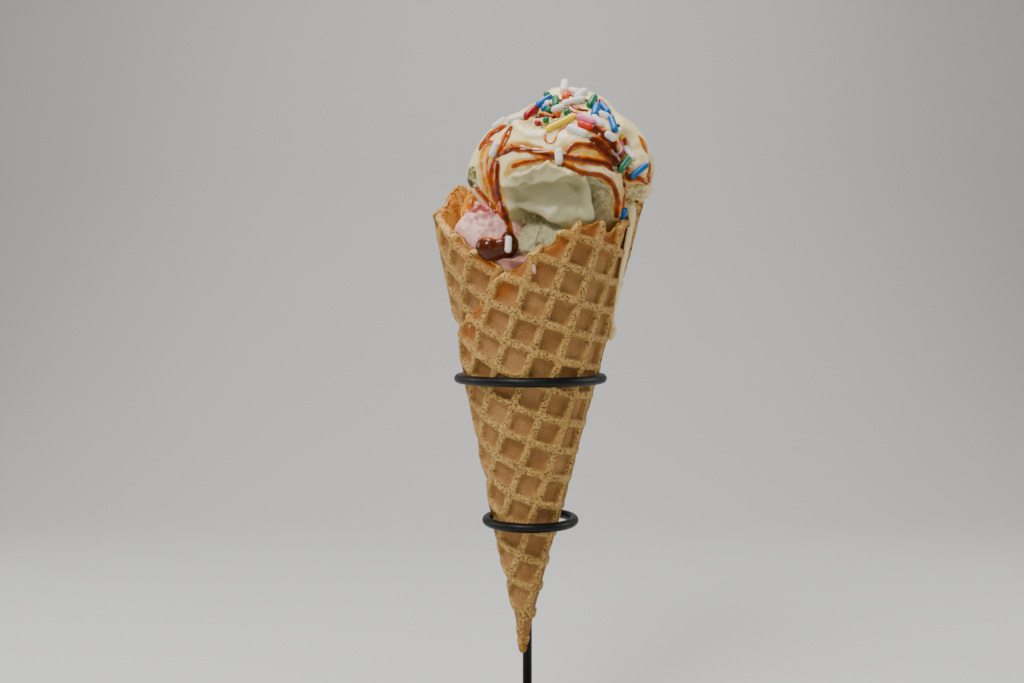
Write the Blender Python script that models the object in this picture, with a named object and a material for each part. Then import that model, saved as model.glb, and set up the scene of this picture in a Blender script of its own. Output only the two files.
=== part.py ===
"""An ice cream cone in its wire stand: a rolled waffle sheet, two scoops, two rings, a rod and a base plate.

Lengths below are millimetres; mm() turns them into Blender's metres. +Z is up and -Y is the front.
The waffle is made as it is in life: a flat baked sheet is modelled first, then rolled round the cone's axis.
"""

import math

import bmesh
import bpy
from mathutils import Matrix, Vector, noise

# Stand
BASE_RADIUS, BASE_THICKNESS, BASE_BEVEL = 50.0, 4.0, 1.0
ROD_RADIUS, ROD_X, ROD_Y, ROD_OVER_RING = 1.7, -0.6, 29.0, 3.0
WIRE_RADIUS = 1.55
RINGS = {"stand_ring_upper": (23.9, 132.4), "stand_ring_lower": (14.6, 84.9)}  # centreline radius, height
CONTACT_GAP = 0.3  # left between pieces that touch

# Rolled cone
HALF_ANGLE = math.radians(12.85)
APEX = Vector((-2.3, 0.1, 36.0))  # where the cone's sides would meet
LEAN = math.radians(1.78)  # towards +X
TIP_S = 4.1  # the sheet starts this far from the apex
SHEET_THICKNESS, LAYER_GAP = 2.6, 0.55
TAPER_S = 40.0  # nearer the apex than this, the layers are pressed thinner
# Above the upper ring and the edge of the layer over it, the inner layer springs outwards: how far, from what
# distance at the lowest, over what distance, and over how much turn from where the outer layer ends
FLARE, FLARE_FROM, FLARE_RISE, FLARE_TURN = 2.9, 102.0, 20.0, 90.0
# The sheet's edge: (turn round the cone in degrees, distance from the apex). Turn 0 is the front, 90 is +X,
# and a full turn more is one layer further in.
RIM = (
    (-232, 5), (-205, 22), (-180, 45), (-150, 68), (-120, 86), (-92, 103), (-76, 112.5), (-53, 119.5),
    (-37, 126.5), (-25, 131), (-8, 137.5), (-2, 139), (14, 146.5), (33, 150.5), (43, 148), (58, 151),
    (74, 157), (90, 162.5), (138, 165), (180, 166), (224, 166), (232, 166.5), (240, 162.5), (254, 156.5),
    (270, 154.5), (280, 153), (290, 149.2), (298, 147), (306, 145.2), (312, 141.8), (320, 139.8), (327, 137.4),
    (339, 132.3), (355, 127.5), (372, 121.5),
)  # fmt: skip
OUTER_END, INNER_END = RIM[0][0], RIM[-1][0]
RIM_STEP, FACET_STEP = 5, 24  # degrees of turn

# Waffle pattern on the flat sheet
GRID_PITCH, RIDGE_WIDTH, POCKET_SLOPE, POCKET_DEPTH = 9.5, 2.2, 0.7, 1.2
GRID_TURN = math.radians(18)
GRID_SHIFT = (3.85, 8.2)
LOBE = 1.4  # how far a ridge's end stands past the hollows between

# Scoops
VANILLA_CENTRE, VANILLA_LOW_RADII = Vector((9.6, -1.0, 199.0)), Vector((30.7, 29.2, 22.5))
# The scoop's upper half: (elevation in degrees, reach from its centre to the left, and to the right)
SCOOP_PROFILE = (
    (0, 30.6, 30.9), (5, 30.5, 31.4), (12, 29.6, 31.3), (20, 28.9, 30.5), (31, 27.8, 29.6), (46, 25.9, 28.4),
    (56, 25.0, 29.2), (72, 25.6, 29.5), (81, 28.3, 29.4), (90, 29.2, 29.2),
)  # fmt: skip
SCOOP_DEPTH = 0.95  # its reach to the front and back, as a share of the reach to the sides
NECK_CENTRE, NECK_RADII = Vector((7.0, -5.0, 173.5)), Vector((19.0, 21.0, 9.5))
# Forms on the scoop's front: (height, width, the (x, z) places a stroke runs through)
STROKES = (
    (1.9, 2.6, ((-10, 190.5), (-5, 194.5), (4, 195.8), (13, 195.2), (17, 191))),
    (1.2, 2.2, ((-8, 199), (-1, 200), (3, 202.5))),
    (-3.0, 5.0, ((-3, 189.8), (12, 189.3))),
    (1.0, 2.2, ((-9, 186.8), (-2, 184.8), (6, 185.8), (14, 184.4))),
    (-1.8, 2.4, ((20.5, 194), (21, 182))),
    (-3.0, 2.6, ((30.5, 209), (27, 200), (27, 188))),
    (1.8, 3.4, ((22, 218), (34, 209), (38, 198))),
)
STRAWBERRY_TOP, STRAWBERRY_BOTTOM = 172.0, 75.5
MOUND_CENTRE, MOUND_RADII = Vector((-14.0, -10.0, 174.0)), Vector((14.0, 13.0, 16.5))
WALL_CLEARANCE = 1.1  # ice cream to waffle
RIM_MARGIN, FILL_MARGIN = 5.5, 25.0  # a scoop is kept inside a layer to this far above that layer's edge

COLOURS = {
    "waffle": ((0.60, 0.36, 0.14), 0.75, 0.0),
    "vanilla": ((0.86, 0.78, 0.56), 0.45, 0.0),
    "strawberry": ((0.80, 0.52, 0.47), 0.5, 0.0),
    "black_coat": ((0.012, 0.012, 0.014), 0.4, 0.3),
}


def mm(*lengths):
    """Millimetres to metres, as a vector."""
    return Vector(lengths) * 0.001


def material(name):
    """One Principled material for each of COLOURS."""
    found = bpy.data.materials.get(name)
    if found:
        return found
    made = bpy.data.materials.new(name)
    made.use_nodes = True
    shader = made.node_tree.nodes["Principled BSDF"]
    colour, roughness, metallic = COLOURS[name]
    shader.inputs["Base Color"].default_value = (*colour, 1.0)
    shader.inputs["Roughness"].default_value = roughness
    shader.inputs["Metallic"].default_value = metallic
    made.diffuse_color = (*colour, 1.0)
    return made


def add_object(name, form, material_name=None, sharp_degrees=40):
    """Links a new object that holds the bmesh form, and frees the bmesh."""
    mesh = bpy.data.meshes.new(name)
    form.to_mesh(mesh)
    form.free()
    made = bpy.data.objects.new(name, mesh)
    bpy.context.scene.collection.objects.link(made)
    if material_name:
        mesh.materials.append(material(material_name))
        mesh.shade_smooth()
        mesh.set_sharp_from_angle(angle=math.radians(sharp_degrees))
    return made


def add_boolean(target, cutter, operation):
    """Joins cutter to target, or cuts it away, and hides it."""
    cutter.hide_render = True
    cutter.display_type = "WIRE"
    modifier = target.modifiers.new(operation.lower(), "BOOLEAN")
    modifier.operation = operation
    modifier.object = cutter


# ---- the sheet, flat and rolled ----


def rim_distance(turn):
    """Smooth distance from the apex to the sheet's edge, by Catmull-Rom through RIM."""
    turn = min(max(turn, OUTER_END), INNER_END)
    i = max(k for k in range(len(RIM) - 1) if RIM[k][0] <= turn)
    (t0, s0), (t1, s1) = RIM[i], RIM[i + 1]
    before, after = RIM[max(i - 1, 0)], RIM[min(i + 2, len(RIM) - 1)]
    slope0 = (s1 - before[1]) / (t1 - before[0])
    slope1 = (after[1] - s0) / (after[0] - t0)
    x, width = (turn - t0) / (t1 - t0), t1 - t0
    return (
        s0 * (1 + 2 * x) * (1 - x) ** 2
        + slope0 * width * x * (1 - x) ** 2
        + s1 * x * x * (3 - 2 * x)
        + slope1 * width * x * x * (x - 1)
    )


def flat_point(turn, s):
    """Where a place on the rolled cone lies on the flat sheet, with the apex at the origin."""
    angle = math.radians(turn) * math.sin(HALF_ANGLE)
    return Vector((s * math.sin(angle), s * math.cos(angle)))


def to_grid(point):
    """Flat sheet coordinates to coordinates along the waffle's two families of ridges."""
    c, s = math.cos(GRID_TURN), math.sin(GRID_TURN)
    return Vector((point.x * c - point.y * s, point.x * s + point.y * c))


def from_grid(point):
    """The way back."""
    c, s = math.cos(GRID_TURN), math.sin(GRID_TURN)
    return Vector((point.x * c + point.y * s, -point.x * s + point.y * c))


def ridge_share(point):
    """1 on a ridge's middle line and 0 half a pitch away."""
    waves = [math.cos(2 * math.pi * (x - shift) / GRID_PITCH) for x, shift in zip(to_grid(point), GRID_SHIFT)]
    return 0.5 + 0.5 * max(waves)


def outline():
    """The flat sheet's outline, anticlockwise seen from above: the lobed rim, then the apex's small arc."""
    rim, turn = [], INNER_END
    while turn >= OUTER_END:
        s = rim_distance(turn)
        grow = min(1.0, s / TAPER_S)
        rim.append(flat_point(turn, s + LOBE * grow * (2 * ridge_share(flat_point(turn, s)) ** 2 - 1)))
        turn -= RIM_STEP
    apex_arc = [flat_point(turn, TIP_S) for turn in range(OUTER_END, INNER_END + 1, FACET_STEP)]
    return [*rim, *apex_arc, flat_point(INNER_END, TIP_S)]


def grid_lines(low, high, shift):
    """The edges of every ridge that crosses the range from low to high."""
    first, last = math.floor((low - shift) / GRID_PITCH), math.ceil((high - shift) / GRID_PITCH)
    middles = [shift + k * GRID_PITCH for k in range(first, last + 1)]
    return [m + side * RIDGE_WIDTH / 2 for m in middles for side in (-1, 1)]


def is_covered(point):
    """Whether the next layer out hides this place on the sheet, and the pocket there."""
    turn_outside = math.degrees(math.atan2(point.x, point.y)) / math.sin(HALF_ANGLE) - 360
    return turn_outside > OUTER_END and point.length < rim_distance(turn_outside) - GRID_PITCH


def waffle_slab(points):
    """A flat slab with pockets pressed into its top, large enough to cut the sheet from."""
    corners = [to_grid(p) for p in points]
    xs = grid_lines(min(c.x for c in corners), max(c.x for c in corners), GRID_SHIFT[0])
    ys = grid_lines(min(c.y for c in corners), max(c.y for c in corners), GRID_SHIFT[1])
    slab = bmesh.new()
    rows = [[slab.verts.new((*from_grid(Vector((x, y))), SHEET_THICKNESS)) for x in xs] for y in ys]
    pockets = []
    for j in range(len(ys) - 1):
        for i in range(len(xs) - 1):
            face = slab.faces.new((rows[j][i], rows[j][i + 1], rows[j + 1][i + 1], rows[j + 1][i]))
            if i % 2 and j % 2 and not is_covered(face.calc_center_median().xy):
                pockets.append(face)
    edges = [e for e in slab.edges if e.is_boundary]
    sides = bmesh.ops.extrude_edge_only(slab, edges=edges)["geom"]
    for v in sides:
        if isinstance(v, bmesh.types.BMVert):
            v.co.z = 0.0
    bmesh.ops.contextual_create(slab, geom=[e for e in slab.edges if e.is_boundary])
    bmesh.ops.inset_individual(slab, faces=pockets, thickness=POCKET_SLOPE, depth=-POCKET_DEPTH)
    bmesh.ops.recalc_face_normals(slab, faces=slab.faces)
    return slab


def prism(points, low, high):
    """The outline as a closed prism."""
    form = bmesh.new()
    bottom = form.faces.new([form.verts.new((*p, low)) for p in points])
    top = bmesh.ops.extrude_face_region(form, geom=[bottom])["geom"]
    top_verts = [v for v in top if isinstance(v, bmesh.types.BMVert)]
    bmesh.ops.translate(form, vec=(0, 0, high - low), verts=top_verts)
    bmesh.ops.recalc_face_normals(form, faces=form.faces)
    return form


def ease(x):
    """0 below 0, 1 above 1, and smooth between."""
    x = min(1.0, max(0.0, x))
    return x * x * (3 - 2 * x)


def flare_start(turn):
    """Distance from the apex at which the inner layer starts to open outwards."""
    return max(FLARE_FROM, rim_distance(turn - 360))


def layer_offset(turn, s):
    """How far the ridge tops lie out from the cone's middle surface: each turn inwards is one layer down."""
    past_end = turn - OUTER_END - 360
    flare = 0.0
    if past_end > 0:
        flare = FLARE * ease(past_end / FLARE_TURN) * ease((s - flare_start(turn)) / FLARE_RISE)
    return flare - (SHEET_THICKNESS + LAYER_GAP) * turn / 360


def taper(s):
    """How much of its full thickness the sheet keeps at this distance from the apex."""
    return min(1.0, s / TAPER_S)


def on_cone(turn, s, out):
    """The place at a turn and a distance from the apex, and out along the cone's own normal."""
    angle = math.radians(turn)
    outwards = Vector((math.sin(angle), -math.cos(angle), 0))
    up = Vector((0, 0, 1))
    along = outwards * math.sin(HALF_ANGLE) + up * math.cos(HALF_ANGLE)
    normal = outwards * math.cos(HALF_ANGLE) - up * math.sin(HALF_ANGLE)
    return APEX + Matrix.Rotation(LEAN, 3, "Y") @ (along * s + normal * out)


def roll(form):
    """Rolls the flat sheet's vertices round the cone's axis."""
    for v in form.verts:
        s = math.hypot(v.co.x, v.co.y)
        turn = math.degrees(math.atan2(v.co.x, v.co.y)) / math.sin(HALF_ANGLE)
        out = (layer_offset(turn, s) - SHEET_THICKNESS + v.co.z) * taper(s)
        v.co = on_cone(turn, s, out) * 0.001


def cut_across(form, turn, s):
    """Cuts the flat sheet's strip between two bends straight across, at a distance from the apex."""
    middle = flat_point(turn, 1.0)
    half_strip = math.radians(FACET_STEP / 2) * math.sin(HALF_ANGLE)
    faces = []
    for face in form.faces:
        place = face.calc_center_median()
        if abs(math.atan2(place.x, place.y) - math.atan2(middle.x, middle.y)) < half_strip:
            faces.append(face)
    edges = {edge for face in faces for edge in face.edges}
    verts = {v for face in faces for v in face.verts}
    plane_co, plane_no = (middle.x * s, middle.y * s, 0), (middle.x, middle.y, 0)
    geometry = [*verts, *edges, *faces]
    bmesh.ops.bisect_plane(form, geom=geometry, plane_co=plane_co, plane_no=plane_no, dist=1e-4)


def build_waffle_cone():
    points = outline()
    flat = add_object("flat_sheet", waffle_slab(points))
    cutter = add_object("flat_outline", prism(points, -SHEET_THICKNESS, 2 * SHEET_THICKNESS))
    add_boolean(flat, cutter, "INTERSECT")
    bpy.context.view_layer.update()
    form = bmesh.new()
    form.from_object(flat, bpy.context.evaluated_depsgraph_get())
    for helper in (flat, cutter):
        bpy.data.objects.remove(helper)
    # Straight cuts towards the apex are where the sheet bends when it is rolled.
    for turn in range(-360 + FACET_STEP, 361 + FACET_STEP, FACET_STEP):
        if OUTER_END < turn < INNER_END:
            along = flat_point(turn, 1.0)
            geometry = [*form.verts, *form.edges, *form.faces]
            across = (along.y, -along.x, 0)
            bmesh.ops.bisect_plane(form, geom=geometry, plane_co=(0, 0, 0), plane_no=across, dist=1e-4)
    # It bends across as well, where it reaches its full thickness and where the inner layer opens outwards.
    for turn in range(-360 + FACET_STEP // 2, INNER_END + FACET_STEP // 2, FACET_STEP):
        cut_across(form, turn, TAPER_S)
        if turn > OUTER_END + 360:
            for share in (0.0, 0.3, 0.65, 1.0):
                cut_across(form, turn, flare_start(turn) + share * FLARE_RISE)
    bmesh.ops.triangulate(form, faces=form.faces)
    roll(form)
    return add_object("waffle_cone", form, "waffle", sharp_degrees=28)


# ---- the scoops ----


def cone_place(point):
    """(turn, distance from the apex, distance from the axis) of a point, in degrees and millimetres."""
    local = Matrix.Rotation(-LEAN, 3, "Y") @ (point - APEX)
    turn = math.degrees(math.atan2(local.x, -local.y))
    return turn, local.z / math.cos(HALF_ANGLE), math.hypot(local.x, local.y)


def layers_at(turn):
    """(turn, distance from the apex to the edge) of every layer of the sheet at one place round the cone."""
    turns = [t for t in (turn - 360, turn, turn + 360) if OUTER_END <= t <= INNER_END + FACET_STEP]
    return [(t, max(rim_distance(t + step) for step in (-9, 0, 9))) for t in turns]


def wall_radius(turn, s, margin=RIM_MARGIN):
    """The free radius inside the innermost layer of waffle at this place, or None above the rim."""
    radii = []
    for layer_turn, edge in layers_at(turn):
        if s < edge + margin:
            out = (layer_offset(layer_turn, s) - SHEET_THICKNESS) * taper(s)
            radii.append(s * math.sin(HALF_ANGLE) + out / math.cos(HALF_ANGLE))
    # The rolled sheet is flat between bends, so its inner face comes this much closer than its corners.
    return min(radii) * math.cos(math.radians(FACET_STEP / 2)) - WALL_CLEARANCE if radii else None


def keep_inside_wall(form):
    """Presses what would reach into the waffle back to the wall's inner face."""
    for v in form.verts:
        turn, s, radius = cone_place(v.co)
        free = wall_radius(turn, s)
        if free is not None and radius > free:
            axis = on_cone(turn, s, -s * math.tan(HALF_ANGLE))
            axis.z = v.co.z
            v.co = axis + (v.co - axis) * (free / radius)


def ellipsoid_reach(start, direction, centre, radii):
    """How far from start, along direction, the far side of an ellipsoid is, or 0 where it is missed."""
    p = Vector((start - centre)[k] / radii[k] for k in range(3))
    d = Vector(direction[k] / radii[k] for k in range(3))
    b, c = p.dot(d), p.length_squared - 1
    inside_root = b * b - d.length_squared * c
    return (-b + math.sqrt(inside_root)) / d.length_squared if inside_root > 0 else 0.0


def stroke_distance(x, z, places):
    """Distance in the front view from (x, z) to a line through the places."""
    best = 1e9
    for (x0, z0), (x1, z1) in zip(places, places[1:]):
        dx, dz = x1 - x0, z1 - z0
        share = ((x - x0) * dx + (z - z0) * dz) / (dx * dx + dz * dz)
        share = min(1.0, max(0.0, share))
        best = min(best, math.hypot(x - x0 - share * dx, z - z0 - share * dz))
    return best


def scoop_profile(direction):
    """Reach of the scoop's upper half, between its left and right profiles."""
    elevation = math.degrees(math.asin(min(1.0, direction.z)))
    level = max(1e-6, math.hypot(direction.x, direction.y))
    to_right = 0.5 + 0.5 * direction.x / level
    for (low, low_left, low_right), (high, high_left, high_right) in zip(SCOOP_PROFILE, SCOOP_PROFILE[1:]):
        if elevation <= high:
            break
    share = (elevation - low) / (high - low)
    left = low_left + (high_left - low_left) * share
    right = low_right + (high_right - low_right) * share
    depth = 1 - (1 - SCOOP_DEPTH) * (direction.y / level) ** 2 * (1 - elevation / 90)
    return (left + (right - left) * to_right) * depth


def vanilla_reach(direction):
    """Distance from the scoop's centre to its surface: a ball with a peak, over a neck in the cone."""
    if direction.z > 0:
        ball = scoop_profile(direction)
    else:
        ball = ellipsoid_reach(VANILLA_CENTRE, direction, VANILLA_CENTRE, VANILLA_LOW_RADII)
    ball += 0.5 * noise.noise(direction * 2.7)
    place = VANILLA_CENTRE + direction * ball
    front = min(1.0, max(0.0, (-direction.y - 0.1) / 0.3))
    for height, width, places in STROKES:
        ball += front * height * math.exp(-((stroke_distance(place.x, place.z, places) / width) ** 2))
    return max(ball, ellipsoid_reach(VANILLA_CENTRE, direction, NECK_CENTRE, NECK_RADII))


def build_vanilla():
    """A ball of vertices whose poles are at the front and the back, closest together at the front."""
    sides, rings = 38, 23
    form = bmesh.new()

    def place(polar, round_angle):
        sine = math.sin(polar)
        direction = Vector((sine * math.cos(round_angle), -math.cos(polar), sine * math.sin(round_angle)))
        return form.verts.new(VANILLA_CENTRE + direction * vanilla_reach(direction))

    polars = [math.pi * (k / rings) ** 1.25 for k in range(1, rings)]
    loops = [[place(polar, 2 * math.pi * k / sides) for k in range(sides)] for polar in polars]
    for low, high in zip(loops, loops[1:]):
        for k in range(sides):
            n = (k + 1) % sides
            form.faces.new((low[k], low[n], high[n], high[k]))
    for loop, polar in ((loops[0], 0.0), (loops[-1], math.pi)):
        pole = place(polar, 0.0)
        for k in range(sides):
            form.faces.new((loop[k], loop[(k + 1) % sides], pole))
    keep_inside_wall(form)
    bmesh.ops.recalc_face_normals(form, faces=form.faces)
    bmesh.ops.triangulate(form, faces=form.faces)
    bmesh.ops.scale(form, vec=(0.001,) * 3, verts=form.verts)
    return add_object("vanilla_scoop", form, "vanilla")


def fill_height(x, y):
    """Top of the strawberry ice cream over a place: nearly level, with a mound at the front left."""
    dx, dy = (x - MOUND_CENTRE.x) / MOUND_RADII.x, (y - MOUND_CENTRE.y) / MOUND_RADII.y
    mound = MOUND_RADII.z * math.exp(-(dx * dx + dy * dy) * 0.9)
    return STRAWBERRY_TOP + mound + 1.2 * noise.noise(Vector((x, y, 0)) * 0.12)


def build_strawberry(vanilla):
    """Fills the cone: rings that follow the wall's inner face, closed by an uneven top and a point."""
    sides, levels, top_rings = 30, 6, 6
    form = bmesh.new()

    def wall_point(turn, z):
        s = (z - APEX.z) / math.cos(HALF_ANGLE)
        free = wall_radius(turn, s, margin=FILL_MARGIN)
        axis = on_cone(turn, s, -s * math.tan(HALF_ANGLE))
        outwards = Vector((math.sin(math.radians(turn)), -math.cos(math.radians(turn)), 0))
        return Vector((axis.x, axis.y, z)) + outwards * free

    turns = [360 * k / sides for k in range(sides)]
    rings = []
    for j in range(levels):
        ring = []
        for turn in turns:
            edge = wall_point(turn, STRAWBERRY_TOP)
            rim_s = max(rim for _, rim in layers_at(turn))
            top = min(fill_height(edge.x, edge.y), APEX.z + (rim_s + RIM_MARGIN - 2) * math.cos(HALF_ANGLE))
            z = STRAWBERRY_BOTTOM + (top - STRAWBERRY_BOTTOM) * j / (levels - 1)
            ring.append(form.verts.new(wall_point(turn, z)))
        rings.append(ring)
    rim = [v.co.copy() for v in rings[-1]]
    middle = sum(rim, Vector()) / sides
    for j in range(1, top_rings):
        ring = []
        for edge in rim:
            place = edge.lerp(middle, j / top_rings)
            ease = min(1.0, 2.5 * j / top_rings)
            z = edge.z + (fill_height(place.x, place.y) - edge.z) * ease
            ring.append(form.verts.new((place.x, place.y, z)))
        rings.append(ring)
    for low, high in zip(rings, rings[1:]):
        for k in range(sides):
            n = (k + 1) % sides
            form.faces.new((low[k], low[n], high[n], high[k]))
    for ring, z in ((rings[0], STRAWBERRY_BOTTOM - 6), (rings[-1], fill_height(middle.x, middle.y))):
        centre = sum((v.co for v in ring), Vector()) / sides
        tip = form.verts.new((centre.x, centre.y, z))
        for k in range(sides):
            form.faces.new((ring[k], ring[(k + 1) % sides], tip))
    bmesh.ops.recalc_face_normals(form, faces=form.faces)
    bmesh.ops.triangulate(form, faces=form.faces)
    bmesh.ops.scale(form, vec=(0.001,) * 3, verts=form.verts)
    made = add_object("strawberry_scoop", form, "strawberry")
    add_boolean(made, vanilla_hollow(vanilla), "DIFFERENCE")
    return made


def vanilla_hollow(vanilla):
    """The vanilla scoop grown by the contact gap: what it presses into the ice cream below."""
    form = bmesh.new()
    form.from_mesh(vanilla.data)
    form.normal_update()
    moves = [v.normal * CONTACT_GAP * 0.001 * 1.3 for v in form.verts]
    for v, move in zip(form.verts, moves):
        v.co += move
    return add_object("vanilla_hollow", form)


# ---- the stand ----


def cylinder(radius, low, high, segments, x=0.0, y=0.0):
    form = bmesh.new()
    bmesh.ops.create_cone(
        form,
        cap_ends=True,
        segments=segments,
        radius1=radius * 0.001,
        radius2=radius * 0.001,
        depth=(high - low) * 0.001,
        matrix=Matrix.Translation(mm(x, y, (low + high) / 2)),
    )
    return form


def build_base():
    base = add_object("stand_base", cylinder(BASE_RADIUS, 0, BASE_THICKNESS, 48), "black_coat")
    bevel = base.modifiers.new("edge", "BEVEL")
    bevel.width = BASE_BEVEL * 0.001
    bevel.segments = 1
    return base


def build_rod():
    top = RINGS["stand_ring_upper"][1] + ROD_OVER_RING
    rod = add_object(
        "stand_rod",
        cylinder(ROD_RADIUS, BASE_THICKNESS + CONTACT_GAP, top, 16, x=ROD_X, y=ROD_Y),
        "black_coat",
    )
    bevel = rod.modifiers.new("edge", "BEVEL")
    bevel.width = ROD_RADIUS * 0.3 * 0.001
    bevel.segments = 1
    return rod


def build_ring(name, radius, height):
    """A wire ring with a short tail that reaches back to the rod."""
    bpy.ops.mesh.primitive_torus_add(
        location=mm(0, 0, height),
        major_radius=radius * 0.001,
        minor_radius=WIRE_RADIUS * 0.001,
        major_segments=36,
        minor_segments=6,
    )
    ring = bpy.context.object
    ring.name = name
    ring.data.materials.append(material("black_coat"))
    ring.data.shade_smooth()
    tail_end = ROD_Y - ROD_RADIUS - CONTACT_GAP
    tail = cylinder(WIRE_RADIUS * 0.98, 0, tail_end - radius, 12)
    turn_back = Matrix.Translation(mm(ROD_X, radius, height)) @ Matrix.Rotation(math.radians(-90), 4, "X")
    bmesh.ops.transform(tail, matrix=turn_back, verts=tail.verts)
    add_boolean(ring, add_object(name + "_tail", tail), "UNION")
    return ring


def main():
    for found in list(bpy.data.objects):
        bpy.data.objects.remove(found)
    build_waffle_cone()
    build_strawberry(build_vanilla())
    build_base()
    build_rod()
    for name, (radius, height) in RINGS.items():
        build_ring(name, radius, height)


main()
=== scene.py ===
"""Looks for an ice cream cone in a wire stand: waffle, two ice creams, caramel, sprinkles, a melted drip and the stand.

Lengths are millimetres until a mesh is made. +Z is up and -Y is the front. Details on the front are placed by
(x, z) in the upright plane y = 0 as the camera sees it: seen_at() and aim() go to and from that plane.
"""

import itertools
import math

import bmesh
import bpy
import numpy as np
from mathutils import Matrix, Vector
from mathutils.bvhtree import BVHTree


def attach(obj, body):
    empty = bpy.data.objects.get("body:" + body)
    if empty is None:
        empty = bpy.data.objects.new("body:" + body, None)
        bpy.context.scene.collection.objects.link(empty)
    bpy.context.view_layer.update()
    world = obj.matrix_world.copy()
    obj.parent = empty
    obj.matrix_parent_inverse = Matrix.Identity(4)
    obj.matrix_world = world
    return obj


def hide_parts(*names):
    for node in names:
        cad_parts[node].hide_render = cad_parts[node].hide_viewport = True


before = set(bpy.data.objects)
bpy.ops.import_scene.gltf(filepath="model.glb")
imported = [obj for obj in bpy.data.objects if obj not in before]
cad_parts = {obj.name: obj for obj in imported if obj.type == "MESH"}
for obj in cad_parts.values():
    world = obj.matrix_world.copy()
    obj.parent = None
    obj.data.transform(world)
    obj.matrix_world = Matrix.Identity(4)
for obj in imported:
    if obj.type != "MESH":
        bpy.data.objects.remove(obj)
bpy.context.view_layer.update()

MM = 0.001

# Camera
EYE = Vector((-6.17, -349.0, 154.4))
LENS, PITCH = 36.8, math.radians(1.616)

# The rolled sheet, as in the CAD
HALF_ANGLE, LEAN = math.radians(12.85), math.radians(1.78)
APEX = np.array((-2.3, 0.1, 36.0))
TIP_S, TAPER_S = 4.1, 40.0
FLARE, FLARE_FROM, FLARE_RISE, FLARE_TURN = 2.9, 102.0, 20.0, 90.0
SHEET_THICKNESS, LAYER_GAP = 2.6, 0.55
RIM = (
    (-232, 5), (-205, 22), (-180, 45), (-150, 68), (-120, 86), (-92, 103), (-76, 112.5), (-53, 119.5),
    (-37, 126.5), (-25, 131), (-8, 137.5), (-2, 139), (14, 146.5), (33, 150.5), (43, 148), (58, 151),
    (74, 157), (90, 162.5), (138, 165), (180, 166), (224, 166), (232, 166.5), (240, 162.5), (254, 156.5),
    (270, 154.5), (280, 153), (290, 149.2), (298, 147), (306, 145.2), (312, 141.8), (320, 139.8), (327, 137.4),
    (339, 132.3), (355, 127.5), (372, 121.5),
)  # fmt: skip
OUTER_END, INNER_END = RIM[0][0], RIM[-1][0]
GRID_PITCH, GRID_TURN, GRID_SHIFT = 9.5, math.radians(18), (3.85, 8.2)
CELL_STEPS = np.array((0, 0.5, 0.9, 1.15, 1.4, 1.7, 3.1, 4.75, 6.4, 7.8, 8.1, 8.35, 8.6, 9.0))
POCKET_DEPTH, POCKET_HALF, POCKET_CORNER, POCKET_WALL = 1.5, 3.4, 0.75, 0.36
NUB, INNER_NUB, EDGE_ROUND = 1.4, 0.5, 1.2  # how far ridge ends stand out, and the rim's rounding

# Scoops
VANILLA_CENTRE, VANILLA_LOW_RADII = np.array((9.6, -1.0, 199.0)), np.array((30.7, 29.2, 22.5))
SCOOP_PROFILE = (
    (0, 30.6, 30.9), (5, 30.5, 31.4), (12, 29.6, 31.3), (20, 28.9, 30.5), (31, 27.8, 29.6), (46, 25.9, 28.4),
    (56, 25.0, 29.2), (72, 25.6, 29.5), (81, 28.3, 29.4), (90, 29.2, 29.2),
)  # fmt: skip
SCOOP_DEPTH = 0.95
NECK_CENTRE, NECK_RADII = np.array((7.0, -5.0, 173.5)), np.array((19.0, 21.0, 9.5))
FILL_CENTRE, FILL_RADII = np.array((1.5, 0.0, 164.0)), np.array((36.0, 36.0, 10.0))
MOUND_CENTRE, MOUND_RADII = np.array((-13.0, -9.5, 174.0)), np.array((13.4, 13.5, 16.0))
PEAK_CENTRE, PEAK_RADII = np.array((-16.0, -8.0, 182.0)), np.array((5.0, 6.5, 10.0))
WALL_CLEARANCE, RIM_MARGIN, OVERHANG = 0.3, 4.5, 5.0

# Stand
BASE_RADIUS, BASE_THICKNESS = 50.0, 4.0
ROD_RADIUS, ROD_X, ROD_Y, ROD_TOP = 1.7, -0.6, 29.0, 135.4
WIRE_RADIUS = 1.55
RINGS = {"stand_ring_upper": (23.9, 132.4), "stand_ring_lower": (14.6, 84.9)}


# ---- numbers ----


def smooth_step(x, low, high):
    t = np.clip((x - low) / (high - low), 0, 1)
    return t * t * (3 - 2 * t)


def lumps(points, size, seed=0):
    """Smooth noise from -1 to 1 over an (n, 3) array of points, with lumps of about that size."""
    q = points / size + 11.7 * seed + 0.37
    cell = np.floor(q)
    f = q - cell
    f = f * f * (3 - 2 * f)
    total = np.zeros(len(q))
    for corner in itertools.product((0, 1), repeat=3):
        hashed = np.sin((cell + corner) @ (127.1, 311.7, 74.7)) * 43758.5453
        weight = np.prod(np.where(corner, f, 1 - f), axis=1)
        total += weight * ((hashed - np.floor(hashed)) * 2 - 1)
    return total


def smooth_line(places, step):
    """Places evenly spaced along a Catmull-Rom curve through the given ones."""
    p = np.array(places, float)
    padded = np.vstack((2 * p[0] - p[1], p, 2 * p[-1] - p[-2]))
    found = []
    for a, b, c, d in zip(padded, padded[1:], padded[2:], padded[3:]):
        count = max(2, int(np.linalg.norm(c - b) / step) + 1)
        for t in np.arange(count) / count:
            found.append(b + 0.5 * t * (c - a + t * (2 * a - 5 * b + 4 * c - d + t * (3 * (b - c) + d - a))))
    return np.array([*found, p[-1]])


def line_distance(places, line):
    """Distance of each (x, z) place from a line through points."""
    best = np.full(len(places), 1e9)
    for start, end in zip(np.array(line, float), np.array(line, float)[1:]):
        along = end - start
        share = np.clip((places - start) @ along / (along @ along), 0, 1)
        best = np.minimum(best, np.linalg.norm(places - start - share[:, None] * along, axis=1))
    return best


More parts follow.
